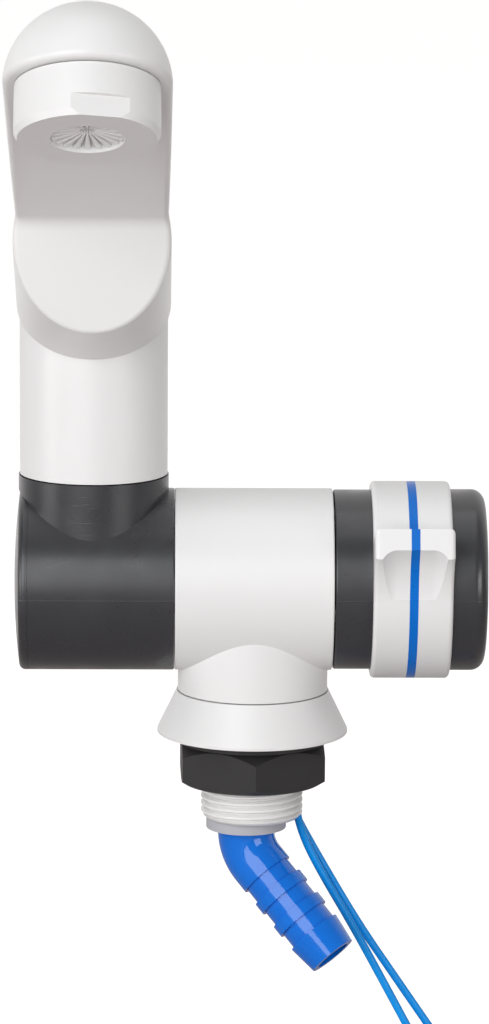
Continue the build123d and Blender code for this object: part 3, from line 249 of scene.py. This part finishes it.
bare_ends = {}
for number, (_, front_y, _) in enumerate(ROUTES.values(), 1):
    bare_ends[number] = bare_end(f"bare_end_{number}", Vector(wire_tip(front_y)) * MM)

# %% [markdown]
# ## Cable tie
#
# A narrow nylon tie holds the coil at its top. Its strap is a flat profile spun once
# round, whose two halves are then pulled apart so that it becomes a long loop. The
# head is a small block with rounded edges, and the cut end of the strap stands out
# of it.

# %% Strap of the tie
TIE_MIDDLE = Vector((0.068, 0.0131, -0.092))
TIE_WIDTH = 0.0025
TIE_THICKNESS = 0.001
TIE_TURN = 0.00175
TIE_HALF_RUN = 0.00405
TIE_STEPS = 32
MERGE_DISTANCE = 1e-7

tie = bmesh.new()
profile = bmesh.ops.create_grid(tie, x_segments=1, y_segments=1, size=0.5)
bmesh.ops.scale(tie, verts=profile["verts"], vec=(TIE_WIDTH, TIE_THICKNESS, 1))
bmesh.ops.rotate(tie, verts=profile["verts"], matrix=Matrix.Rotation(math.pi / 2, 3, "X"))
bmesh.ops.translate(tie, verts=profile["verts"], vec=TIE_MIDDLE + Vector((0, 0, TIE_TURN)))
half_step = Matrix.Rotation(math.pi / TIE_STEPS, 3, "X")
bmesh.ops.rotate(tie, verts=profile["verts"], cent=TIE_MIDDLE, matrix=half_step)
bmesh.ops.spin(
    tie,
    geom=tie.verts[:] + tie.edges[:] + tie.faces[:],
    cent=TIE_MIDDLE,
    axis=(1, 0, 0),
    angle=2 * math.pi,
    steps=TIE_STEPS,
    use_merge=True,
)
bmesh.ops.remove_doubles(tie, verts=tie.verts, dist=MERGE_DISTANCE)
for side in (-1, 1):
    half = [vert for vert in tie.verts if (vert.co.y - TIE_MIDDLE.y) * side > 0]
    bmesh.ops.translate(tie, verts=half, vec=(0, side * TIE_HALF_RUN, 0))
print("strap has", len(tie.faces), "faces")

# %% Head of the tie and the strap's cut end
HEAD_SIZE = (0.0042, 0.0042, 0.0031)
HEAD_PLACE = TIE_MIDDLE + Vector((0, 0, 0.0028))
HEAD_EDGE = 0.0005
STUB_SIZE = (0.0022, 0.0016, 0.001)
STUB_PLACE = TIE_MIDDLE + Vector((0, 0.0026, 0.0032))
TIE_SOFT_EDGE = 0.00012


def tie_block(size, place):
    """A block of the given size, centred on a place of the tie."""
    block = bmesh.ops.create_cube(tie, size=1)
    bmesh.ops.scale(tie, verts=block["verts"], vec=size)
    bmesh.ops.translate(tie, verts=block["verts"], vec=place)
    return list({edge for vert in block["verts"] for edge in vert.link_edges})


head_edges = tie_block(HEAD_SIZE, HEAD_PLACE)
bmesh.ops.bevel(
    tie, geom=head_edges, offset=HEAD_EDGE, affect="EDGES", segments=3, profile=0.5, material=-1
)
tie_block(STUB_SIZE, STUB_PLACE)
bmesh.ops.recalc_face_normals(tie, faces=tie.faces)
cable_tie = keep_mesh(tie, "nylon_tie")
tie_bevel = cable_tie.modifiers.new("soft edges", "BEVEL")
tie_bevel.width = TIE_SOFT_EDGE
tie_bevel.segments = 2
tie_bevel.limit_method = "ANGLE"

# %% [markdown]
# ## Star under the aerator
#
# Water leaves through a star of thin ribs that run from the mouth's rim inwards and
# slope up into a hollow middle. Each rib starts as a cube that is drawn out, narrowed
# and sunk at its inner end, rounded, and then repeated round the aerator's axis. The
# star is made upright at the origin, and its last step puts it in the aerator's mouth.

# %% Ribs of the star
STAR_RIBS = 20
STAR_RADIUS = 0.0086
HUB_RADIUS = 0.0018
STAR_FACE = 0.0123
RIB_WIDTH = 0.0014
RIB_DEPTH = 0.0022
RIB_TAPER = 0.42
RIB_SINK = 0.0013
RIB_EDGE = 0.00028

star = bmesh.new()
rib = bmesh.ops.create_cube(star, size=1)["verts"]
rib_middle = ((STAR_RADIUS + HUB_RADIUS) / 2, 0, STAR_FACE - RIB_DEPTH / 2)
bmesh.ops.scale(star, verts=rib, vec=(STAR_RADIUS - HUB_RADIUS, RIB_WIDTH, RIB_DEPTH))
bmesh.ops.translate(star, verts=rib, vec=rib_middle)
inner = [vert for vert in rib if vert.co.x < STAR_RADIUS / 2]
bmesh.ops.scale(star, verts=inner, vec=(1, RIB_TAPER, 1))
bmesh.ops.translate(star, verts=inner, vec=(0, 0, -RIB_SINK))
bmesh.ops.bevel(
    star, geom=star.edges[:], offset=RIB_EDGE, affect="EDGES", segments=4, profile=0.5, material=-1
)
bmesh.ops.spin(
    star,
    geom=star.verts[:] + star.edges[:] + star.faces[:],
    cent=(0, 0, 0),
    axis=(0, 0, 1),
    angle=2 * math.pi * (STAR_RIBS - 1) / STAR_RIBS,
    steps=STAR_RIBS - 1,
    use_duplicate=True,
)
print(STAR_RIBS, "ribs have", len(star.faces), "faces")

# %% Dish behind the ribs, and the star's place in the aerator
STAR_BACK = 0.00845
DISH_STEPS = 64
# Radius and height of each corner of the dish and of the rim that holds the ribs
DISH_PROFILE = [
    (0.0, STAR_BACK),
    (0.0093, STAR_BACK),
    (0.0093, 0.01200),
    (0.00862, 0.01200),
    (0.00835, 0.01080),
    (0.0030, 0.00890),
    (0.0, 0.00960),
]

dish_corners = [star.verts.new((radius, 0, height)) for radius, height in DISH_PROFILE]
dish_edges = [star.edges.new(pair) for pair in zip(dish_corners, dish_corners[1:])]
bmesh.ops.spin(
    star,
    geom=dish_corners + dish_edges,
    cent=(0, 0, 0),
    axis=(0, 0, 1),
    angle=2 * math.pi,
    steps=DISH_STEPS,
    use_merge=True,
)
bmesh.ops.remove_doubles(star, verts=star.verts, dist=MERGE_DISTANCE)
bmesh.ops.recalc_face_normals(star, faces=star.faces)

aerator_joint = next(joint for joint in frame["joints"] if joint["name"] == "aerator_unscrew")
pour_axis = Vector(aerator_joint["axis"]).normalized()
pour_side = Vector((1, 0, 0))
pour_front = pour_axis.cross(pour_side)
pour_turn = Matrix((pour_side, pour_front, pour_axis)).transposed().to_4x4()
pour_frame = Matrix.Translation(Vector(aerator_joint["pos_m"])) @ pour_turn
bmesh.ops.transform(star, matrix=pour_frame, verts=star.verts)
for face in star.faces:
    face.smooth = True
star_insert = keep_mesh(star, "star_insert")
star_edges = star_insert.modifiers.new("clean shading", "WEIGHTED_NORMAL")
star_edges.keep_sharp = True

# %% [markdown]
# ## Effects that several finishes share
#
# Moulded plastic is never quite even: its skin ripples slightly where it shrank, a fine
# grain from the mould breaks up its shine, and its tone drifts a little. A thin line
# shows where two mould halves met, and handling leaves hairlines. Each effect is a
# shader node group that reads a place on the piece and gives out values from 0 to
# about 1, so that every material can use it at its own strength.

# %% Shader group helpers
GROUP_SOCKETS = {"vector": "NodeSocketVector", "value": "NodeSocketFloat"}


def new_group(name, inputs, outputs):
    """An empty shader node group with named inputs and outputs."""
    group = bpy.data.node_groups.new(name, "ShaderNodeTree")
    for label, kind, default in inputs:
        socket = group.interface.new_socket(name=label, in_out="INPUT", socket_type=GROUP_SOCKETS[kind])
        if default is not None:
            socket.default_value = default
    for label in outputs:
        group.interface.new_socket(name=label, in_out="OUTPUT", socket_type="NodeSocketFloat")
    return group, group.nodes.new("NodeGroupInput"), group.nodes.new("NodeGroupOutput")


def noise(tree, place, scale, detail=2.0):
    """A noise texture read at a place; its scale is a plain number or a socket to read."""
    node = tree.nodes.new("ShaderNodeTexNoise")
    node.inputs["Detail"].default_value = detail
    tree.links.new(place, node.inputs["Vector"])
    if isinstance(scale, (int, float)):
        node.inputs["Scale"].default_value = scale
    else:
        tree.links.new(scale, node.inputs["Scale"])
    return node.outputs["Fac"]


def calc(tree, operation, first, second=None, third=None):
    """One Math node; each value is a socket to read or a plain number."""
    node = tree.nodes.new("ShaderNodeMath")
    node.operation = operation
    for place, value in enumerate((first, second, third)):
        if isinstance(value, (int, float)):
            node.inputs[place].default_value = value
        elif value is not None:
            tree.links.new(value, node.inputs[place])
    return node.outputs[0]


def spread(tree, value, low, high, to_low=0.0, to_high=1.0, smooth=False):
    """Map Range: takes the part of a value from low to high and spreads it."""
    node = tree.nodes.new("ShaderNodeMapRange")
    if smooth:
        node.interpolation_type = "SMOOTHSTEP"
    node.inputs["From Min"].default_value = low
    node.inputs["From Max"].default_value = high
    node.inputs["To Min"].default_value = to_low
    node.inputs["To Max"].default_value = to_high
    tree.links.new(value, node.inputs["Value"])
    return node.outputs["Result"]


# %% Moulded skin
GRAIN_DEPTH = 0.12
DRIFT_SIZE = 0.45
DRIFT_RANGE = (0.2, 0.8)
DULL_RANGE = (0.15, 0.85)

moulded_skin, skin_in, skin_out = new_group(
    "moulded skin",
    [("Place", "vector", None), ("Ripple", "value", 120.0), ("Grain", "value", 2500.0)],
    ["Height", "Dull", "Tone"],
)
skin_place = skin_in.outputs["Place"]
ripple = noise(moulded_skin, skin_place, skin_in.outputs["Ripple"], 1.0)
grain = noise(moulded_skin, skin_place, skin_in.outputs["Grain"], 2.0)
drift_scale = calc(moulded_skin, "MULTIPLY", skin_in.outputs["Ripple"], DRIFT_SIZE)
drift = noise(moulded_skin, skin_place, drift_scale, 3.0)
skin_height = calc(moulded_skin, "MULTIPLY_ADD", grain, GRAIN_DEPTH, ripple)
tone = spread(moulded_skin, drift, *DRIFT_RANGE, smooth=True)
dullness = spread(moulded_skin, ripple, *DULL_RANGE, smooth=True)
for label, value in (("Height", skin_height), ("Tone", tone), ("Dull", dullness)):
    moulded_skin.links.new(value, skin_out.inputs[label])
print("moulded skin has", len(moulded_skin.nodes), "shader nodes")


# %% Parting line
def vector_step(tree, operation, first, second):
    """One Vector Math node that reads two sockets."""
    node = tree.nodes.new("ShaderNodeVectorMath")
    node.operation = operation
    tree.links.new(first, node.inputs[0])
    tree.links.new(second, node.inputs[1])
    return node


parting_line, line_in, line_out = new_group(
    "parting line",
    [
        ("Place", "vector", None),
        ("Across", "vector", (0, 0, 1)),
        ("Offset", "value", 0.0),
        ("Width", "value", 0.0002),
    ],
    ["Mask"],
)
across_line = vector_step(parting_line, "DOT_PRODUCT", line_in.outputs["Place"], line_in.outputs["Across"])
past_line = calc(parting_line, "SUBTRACT", across_line.outputs["Value"], line_in.outputs["Offset"])
from_line = calc(parting_line, "ABSOLUTE", past_line)
line_share = calc(parting_line, "DIVIDE", from_line, line_in.outputs["Width"])
line_mask = spread(parting_line, line_share, 0.0, 1.0, 1.0, 0.0, smooth=True)
parting_line.links.new(line_mask, line_out.inputs["Mask"])
print("parting line has", len(parting_line.nodes), "shader nodes")

# %% Hairlines
PATCH_SCALE = 70.0
STROKE_RANGE = (0.60, 0.66)
PATCH_RANGE = (0.48, 0.62)

hairlines, hair_in, hair_out = new_group(
    "hairlines",
    [("Place", "vector", None), ("Along", "vector", (0.1, 1, 1)), ("Size", "value", 900.0)],
    ["Mask"],
)
stretched = vector_step(hairlines, "MULTIPLY", hair_in.outputs["Place"], hair_in.outputs["Along"])
strokes = noise(hairlines, stretched.outputs["Vector"], hair_in.outputs["Size"], 3.0)
patches = noise(hairlines, hair_in.outputs["Place"], PATCH_SCALE)
fine_strokes = spread(hairlines, strokes, *STROKE_RANGE)
worn_patches = spread(hairlines, patches, *PATCH_RANGE)
hairlines.links.new(calc(hairlines, "MULTIPLY", fine_strokes, worn_patches), hair_out.inputs["Mask"])
print("hairlines have", len(hairlines.nodes), "shader nodes")

# %% [markdown]
# ## Finishes
#
# Every material starts in the same way: a Principled shader whose colour lies between
# two near tones and whose roughness follows the skin's dull patches. The bump follows
# the skin's height on plastic and the turned rings on metal. The differences lie in the
# values, and in what each finish adds: a parting line on the grey swivel, hairlines
# there and on the nut, painted light on the shank's thread and painted shade in its
# grooves, a clear shine on the blue hose tail.

# %% Material helpers
def new_material(name):
    """A material with an empty node tree, its Principled shader and its object coordinates."""
    material = bpy.data.materials.new(name)
    material.use_nodes = True
    tree = material.node_tree
    tree.nodes.clear()
    output = tree.nodes.new("ShaderNodeOutputMaterial")
    shader = tree.nodes.new("ShaderNodeBsdfPrincipled")
    tree.links.new(shader.outputs["BSDF"], output.inputs["Surface"])
    place = tree.nodes.new("ShaderNodeTexCoord").outputs["Object"]
    return material, tree, shader, place


def use_group(tree, group, place, **values):
    """Place a shader node group in a tree and set its own values."""
    node = tree.nodes.new("ShaderNodeGroup")
    node.node_tree = group
    tree.links.new(place, node.inputs["Place"])
    for label, value in values.items():
        node.inputs[label].default_value = value
    return node


def split_place(tree, place):
    """The three coordinates of a place, each a socket of its own."""
    node = tree.nodes.new("ShaderNodeSeparateXYZ")
    tree.links.new(place, node.inputs["Vector"])
    return node.outputs


def blend_tones(tree, share, first, second):
    """Colour between a tone in linear red, green and blue and a second tone or socket."""
    node = tree.nodes.new("ShaderNodeMix")
    node.data_type = "RGBA"
    node.inputs["A"].default_value = (*first, 1)
    if isinstance(second, tuple):
        node.inputs["B"].default_value = (*second, 1)
    else:
        tree.links.new(second, node.inputs["B"])
    tree.links.new(share, node.inputs["Factor"])
    return node.outputs["Result"]


def add_relief(tree, shader, height, strength, depth):
    """Bump on a shader that follows a height, with a strength and a depth in metres."""
    relief = tree.nodes.new("ShaderNodeBump")
    relief.inputs["Strength"].default_value = strength
    relief.inputs["Distance"].default_value = depth
    tree.links.new(height, relief.inputs["Height"])
    tree.links.new(relief.outputs["Normal"], shader.inputs["Normal"])


# %% [markdown]
# ## The shank's tones, with painted light and shade
#
# On the real shank the thread's crests catch the light, its grooves lie in shade, and the
# smooth collar under the thread is greyer than the rest. Here the light on the thread and
# the shade in its grooves are painted into the colour. The tones are found from the
# distance to the shank's axis and from the height, both read from the piece's own
# coordinates, so they stay with the thread in every view.

# %% Tones of the shank: painted light on the thread, painted shade in its grooves
SHANK_END = -0.0227
THREAD_TOP = (-0.001, 0.0)
THREAD_ROOT = 0.0122
THREAD_CREST = 0.0128
# Painted light on the thread's crests, painted shade in its grooves, and the grey of the end
THREAD_PAINTED_LIGHT = (0.90, 0.90, 0.895)
GROOVE_PAINTED_SHADE = (0.72, 0.715, 0.71)
END_TONE = (0.46, 0.465, 0.50)
TONE_STEP = 0.0001


def shank_tones(tree, place, colour):
    """Painted light on the crests, painted shade in the grooves and a grey end on the part below the worktop."""
    parts = split_place(tree, place)
    above_end = spread(tree, parts["Z"], SHANK_END - TONE_STEP, SHANK_END + TONE_STEP)
    above_thread = spread(tree, parts["Z"], *THREAD_TOP)
    across = calc(tree, "MULTIPLY", parts["X"], parts["X"])
    along = calc(tree, "MULTIPLY", parts["Y"], parts["Y"])
    from_axis = calc(tree, "SQRT", calc(tree, "ADD", across, along))
    crest = calc(tree, "MAXIMUM", above_thread, spread(tree, from_axis, THREAD_ROOT, THREAD_CREST))
    # The thread is painted lighter, its grooves are painted darker as shade, and the end turns grey
    for share, tone in ((above_thread, THREAD_PAINTED_LIGHT), (crest, GROOVE_PAINTED_SHADE), (above_end, END_TONE)):
        colour = blend_tones(tree, share, tone, colour)
    return colour


# %% Moulded plastic
SKIN_DEPTH = 0.0004
SCUFF_DEPTH = -0.3
LINE_HEIGHT = 1.2
PLAIN_SHINE = 0.5


def moulded(
    name,
    light,
    dark,
    gloss,
    dull,
    bump=0.12,
    ripple=120.0,
    grain=2500.0,
    shine=PLAIN_SHINE,
    parting_height=None,
    scuffs=0.0,
    shank=False,
):
    """Moulded plastic between two near tones, whose roughness lies between gloss and dull."""
    material, tree, shader, place = new_material(name)
    skin = use_group(tree, moulded_skin, place, Ripple=ripple, Grain=grain)
    colour = blend_tones(tree, skin.outputs["Tone"], light, dark)
    # The shank gets painted light on its thread and painted shade in its grooves
    if shank:
        colour = shank_tones(tree, place, colour)
    roughness = spread(tree, skin.outputs["Dull"], 0.0, 1.0, gloss, dull)
    height = skin.outputs["Height"]
    if scuffs:
        scuff = use_group(tree, hairlines, place)
        roughness = calc(tree, "MULTIPLY_ADD", scuff.outputs["Mask"], scuffs, roughness)
        height = calc(tree, "MULTIPLY_ADD", scuff.outputs["Mask"], SCUFF_DEPTH, height)
    if parting_height is not None:
        line = use_group(tree, parting_line, place, Offset=parting_height)
        height = calc(tree, "MULTIPLY_ADD", line.outputs["Mask"], LINE_HEIGHT, height)
    tree.links.new(colour, shader.inputs["Base Color"])
    tree.links.new(roughness, shader.inputs["Roughness"])
    shader.inputs["Specular IOR Level"].default_value = shine
    add_relief(tree, shader, height, bump, SKIN_DEPTH)
    print(name, "has", len(tree.nodes), "shader nodes")
    return material


# %% White and grey plastics
WHITE_TONES = ((0.80, 0.80, 0.797), (0.785, 0.783, 0.777))
SWIVEL_PARTING = 0.0387

white_plastic = moulded("white plastic", *WHITE_TONES, 0.30, 0.37, bump=0.05, ripple=60.0)
# This white carries painted light on the shank's thread and painted shade in its grooves
shank_white = moulded(
    "white plastic with a grey end", *WHITE_TONES, 0.30, 0.37, bump=0.05, ripple=60.0, shank=True
)
grey_plastic = moulded(
    "anthracite plastic",
    (0.030, 0.031, 0.035),
    (0.024, 0.025, 0.028),
    0.24,
    0.37,
    bump=0.14,
    shine=0.68,
    parting_height=SWIVEL_PARTING,
    scuffs=0.03,
)

# %% Black and blue plastics
black_plastic = moulded(
    "black nut plastic",
    (0.027, 0.026, 0.0265),
    (0.021, 0.020, 0.0205),
    0.42,
    0.58,
    bump=0.2,
    shine=0.35,
    scuffs=0.06,
)
blue_plastic = moulded(
    "blue tail plastic", (0.001, 0.172, 0.73), (0.001, 0.152, 0.66), 0.06, 0.11, bump=0.04
)
band_blue = moulded(
    "blue band plastic", (0.001, 0.158, 0.62), (0.001, 0.140, 0.56), 0.24, 0.34, bump=0.06, shine=0.2
)
wire_blue = moulded(
    "blue insulation",
    (0.002, 0.315, 0.86),
    (0.002, 0.285, 0.80),
    0.30,
    0.42,
    bump=0.10,
    ripple=300.0,
    shine=0.3,
)

# %% Nylon, rubber and ceramic
natural_plastic = moulded("natural nylon", (0.74, 0.73, 0.68), (0.68, 0.67, 0.61), 0.38, 0.5, bump=0.1)
rubber = moulded("black rubber", (0.020, 0.020, 0.020), (0.013, 0.013, 0.013), 0.62, 0.8, bump=0.3)
ceramic = moulded(
    "white ceramic", (0.86, 0.85, 0.82), (0.82, 0.81, 0.77), 0.14, 0.24, bump=0.03, grain=5000.0
)

# %% Metals
RING_SIZE = 2200.0
RING_STRENGTH = 0.1
RING_DEPTH = 0.0002
RING_DULLNESS = 0.15
METAL_RIPPLE = 400.0
METAL_GRAIN = 6000.0
TURNED = (1, 0.05, 0.05)
DRAWN = (1, 1, 0.05)


def turned_metal(name, light, dark, gloss, dull, across):
    """Metal with the fine rings that turning or drawing leaves, across a direction."""
    material, tree, shader, place = new_material(name)
    shader.inputs["Metallic"].default_value = 1.0
    rings = use_group(tree, hairlines, place, Along=across, Size=RING_SIZE)
    skin = use_group(tree, moulded_skin, place, Ripple=METAL_RIPPLE, Grain=METAL_GRAIN)
    colour = blend_tones(tree, skin.outputs["Tone"], light, dark)
    even_roughness = spread(tree, skin.outputs["Dull"], 0.0, 1.0, gloss, dull)
    roughness = calc(tree, "MULTIPLY_ADD", rings.outputs["Mask"], RING_DULLNESS, even_roughness)
    tree.links.new(colour, shader.inputs["Base Color"])
    tree.links.new(roughness, shader.inputs["Roughness"])
    add_relief(tree, shader, rings.outputs["Mask"], RING_STRENGTH, RING_DEPTH)
    print(name, "has", len(tree.nodes), "shader nodes")
    return material


brass = turned_metal("turned brass", (0.80, 0.58, 0.26), (0.70, 0.49, 0.21), 0.22, 0.34, TURNED)
steel = turned_metal("brushed steel", (0.66, 0.66, 0.66), (0.56, 0.56, 0.57), 0.26, 0.38, TURNED)
copper_strand = turned_metal("tinned copper", (0.80, 0.56, 0.42), (0.70, 0.46, 0.33), 0.2, 0.34, DRAWN)

# %% [markdown]
# ## Giving the pieces their finishes
#
# The record names a material slot for each solid piece, and most pieces wear that slot's
# finish. The blue band and the white body have finishes of their own. Each new piece
# then gets a finish too, is told which body it moves with, and takes the place of the
# plain solids that it stands for.

# %% Which piece wears which finish
FINISHES = {
    "white_plastic": white_plastic,
    "grey_plastic": grey_plastic,
    "black_plastic": black_plastic,
    "blue_plastic": blue_plastic,
    "blue_insulation": wire_blue,
    "natural_plastic": natural_plastic,
    "rubber": rubber,
    "ceramic": ceramic,
    "brass": brass,
    "steel": steel,
    "tinned_copper": copper_strand,
}
# The white body's finish holds the shank's painted light and painted shade
OWN_FINISHES = {"cold_band": band_blue, "tap_body": shank_white}


def wear(piece, material):
    """Give a piece one finish in its first material slot."""
    if piece.data.materials:
        piece.data.materials[0] = material
    else:
        piece.data.materials.append(material)


worn = {}
for row in frame["record"]["subparts"]:
    finish = OWN_FINISHES.get(row["node"], FINISHES[row["material_slot"]])
    wear(nodes[row["node"]], finish)
    worn.setdefault(finish.name, []).append(row["node"])
for finish_name, names in sorted(worn.items()):
    print(finish_name, "on", ", ".join(names))

# %% New pieces: finish, body and the solids that they stand for
for number, wire in enumerate(wires.values(), 1):
    wear(wire, wire_blue)
    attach(wire, "base")
    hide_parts(f"wire_{number}", f"wire_coil_{number}")
for number, end in bare_ends.items():
    wear(end, copper_strand)
    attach(end, "base")
    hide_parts(f"wire_end_{number}")
wear(cable_tie, natural_plastic)
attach(cable_tie, "base")
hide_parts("cable_tie")
wear(star_insert, white_plastic)
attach(star_insert, "aerator")
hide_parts("aerator_insert")

# %% The wires' real lengths
WIRE_LENGTHS = (0.2556, 0.2572)

for number, (name, length) in enumerate(zip(ROUTES, WIRE_LENGTHS), 1):
    print(name, "is", round(length * 1000, 1), "mm long")

# %% [markdown]
# ## Floor, background and lamps
#
# The photograph is a catalogue picture: white all round, and soft light from the
# front. The floor is pale and keeps the tap's shadow. What the camera and the
# reflections see behind the tap is white, while the light that falls on the tap comes
# from a dimmer sky and four soft lamps, so that pale plastic never burns out.

# %% Floor
FLOOR_HEIGHT = -0.1185
FLOOR_REACH = 6.0

floor_bm = bmesh.new()
bmesh.ops.create_grid(floor_bm, x_segments=8, y_segments=8, size=FLOOR_REACH)
bmesh.ops.translate(floor_bm, verts=floor_bm.verts, vec=(0, 0, FLOOR_HEIGHT))
floor = keep_mesh(floor_bm, "studio_floor")

# %% Rays that see a white background
def seen_share(tree, place, near_y, far_y):
    """1 for the camera, and for reflections from 0 in front of the tap to 1 behind it."""
    rays = tree.nodes.new("ShaderNodeLightPath").outputs
    mirrored = calc(tree, "MAXIMUM", rays["Is Glossy Ray"], rays["Is Transmission Ray"])
    behind = spread(tree, split_place(tree, place)["Y"], near_y, far_y, smooth=True)
    return calc(tree, "MAXIMUM", rays["Is Camera Ray"], calc(tree, "MULTIPLY", mirrored, behind))


# %% Floor paint
FLOOR_TONES = ((0.54, 0.488, 0.478), (0.51, 0.458, 0.448))
FLOOR_TONE_SCALE = 3.0
# The floor glows where it is seen, so that it meets the white background without an edge
FLOOR_LIFT = 0.87
# Reflections see it turn white between these two places along Y
FLOOR_WHITENS = (0.0, 1.0)

floor_material = bpy.data.materials.new("pale studio floor")
floor_material.use_nodes = True
floor_tree = floor_material.node_tree
floor_tree.nodes.clear()
floor_output = floor_tree.nodes.new("ShaderNodeOutputMaterial")
floor_paint = floor_tree.nodes.new("ShaderNodeBsdfDiffuse")
floor_glow = floor_tree.nodes.new("ShaderNodeEmission")
floor_sum = floor_tree.nodes.new("ShaderNodeAddShader")
floor_mix = floor_tree.nodes.new("ShaderNodeMixShader")
clear = floor_tree.nodes.new("ShaderNodeBsdfTransparent")
floor_place = floor_tree.nodes.new("ShaderNodeTexCoord").outputs["Object"]
from_below = floor_tree.nodes.new("ShaderNodeNewGeometry").outputs["Backfacing"]

floor_drift = noise(floor_tree, floor_place, FLOOR_TONE_SCALE)
floor_colour = blend_tones(floor_tree, floor_drift, *FLOOR_TONES)
floor_seen = seen_share(floor_tree, floor_place, *FLOOR_WHITENS)
floor_strength = calc(floor_tree, "MULTIPLY", floor_seen, FLOOR_LIFT)
floor_tree.links.new(floor_colour, floor_paint.inputs["Color"])
floor_tree.links.new(floor_strength, floor_glow.inputs["Strength"])
floor_tree.links.new(floor_paint.outputs["BSDF"], floor_sum.inputs[0])
floor_tree.links.new(floor_glow.outputs["Emission"], floor_sum.inputs[1])
floor_tree.links.new(from_below, floor_mix.inputs["Fac"])
floor_tree.links.new(floor_sum.outputs["Shader"], floor_mix.inputs[1])
floor_tree.links.new(clear.outputs["BSDF"], floor_mix.inputs[2])
floor_tree.links.new(floor_mix.outputs["Shader"], floor_output.inputs["Surface"])
wear(floor, floor_material)
print("floor paint has", len(floor_tree.nodes), "shader nodes")

# %% World
SKY_LIGHT = 0.26
SKY_COLOUR = (1, 0.985, 0.98, 1)
# Reflections see it turn white between these two parts of their direction along Y
SKY_WHITENS = (-0.2, 0.6)

world = bpy.data.worlds.new("white studio")
bpy.context.scene.world = world
world.use_nodes = True
world_tree = world.node_tree
world_tree.nodes.clear()
world_output = world_tree.nodes.new("ShaderNodeOutputWorld")
sky = world_tree.nodes.new("ShaderNodeBackground")
sky.inputs["Color"].default_value = SKY_COLOUR
sky_direction = world_tree.nodes.new("ShaderNodeTexCoord").outputs["Generated"]
white_share = seen_share(world_tree, sky_direction, *SKY_WHITENS)
sky_strength = spread(world_tree, white_share, 0.0, 1.0, SKY_LIGHT, 1.0)
world_tree.links.new(sky_strength, sky.inputs["Strength"])
world_tree.links.new(sky.outputs["Background"], world_output.inputs["Surface"])
print("sky lights the tap at", SKY_LIGHT)

# %% Lamps
LAMP_AIM = Vector((0, 0, 0.05))
NEUTRAL = (1, 1, 1)
FAINT_BLUE = (0.975, 0.985, 1.0)
# Each lamp: its place, the side of its square box, its power and its tint
LAMPS = {
    "key_softbox": ((-0.7, -1.75, 0.65), 1.4, 24.0, FAINT_BLUE),
    "side_softbox": ((-1.65, -0.6, 0.1), 0.7, 9.0, NEUTRAL),
    "fill_softbox": ((1.2, -1.3, 0.1), 0.9, 9.5, NEUTRAL),
    "top_softbox": ((0.0, -0.1, 1.3), 1.0, 3.0, NEUTRAL),
}


def soft_lamp(name, place, side, power, tint):
    """A square soft box at a place, turned towards the tap."""
    light = bpy.data.lights.new(name, "AREA")
    light.shape = "SQUARE"
    light.size = side
    light.energy = power
    light.color = tint
    lamp = bpy.data.objects.new(name, light)
    bpy.context.scene.collection.objects.link(lamp)
    lamp.location = place
    lamp.rotation_mode = "QUATERNION"
    lamp.rotation_quaternion = (LAMP_AIM - Vector(place)).to_track_quat("-Z", "Y")
    print(name, "gives", power, "W")


for lamp_name, lamp_values in LAMPS.items():
    soft_lamp(lamp_name, *lamp_values)

# %% Picture settings
bpy.context.scene.view_settings.view_transform = "Standard"
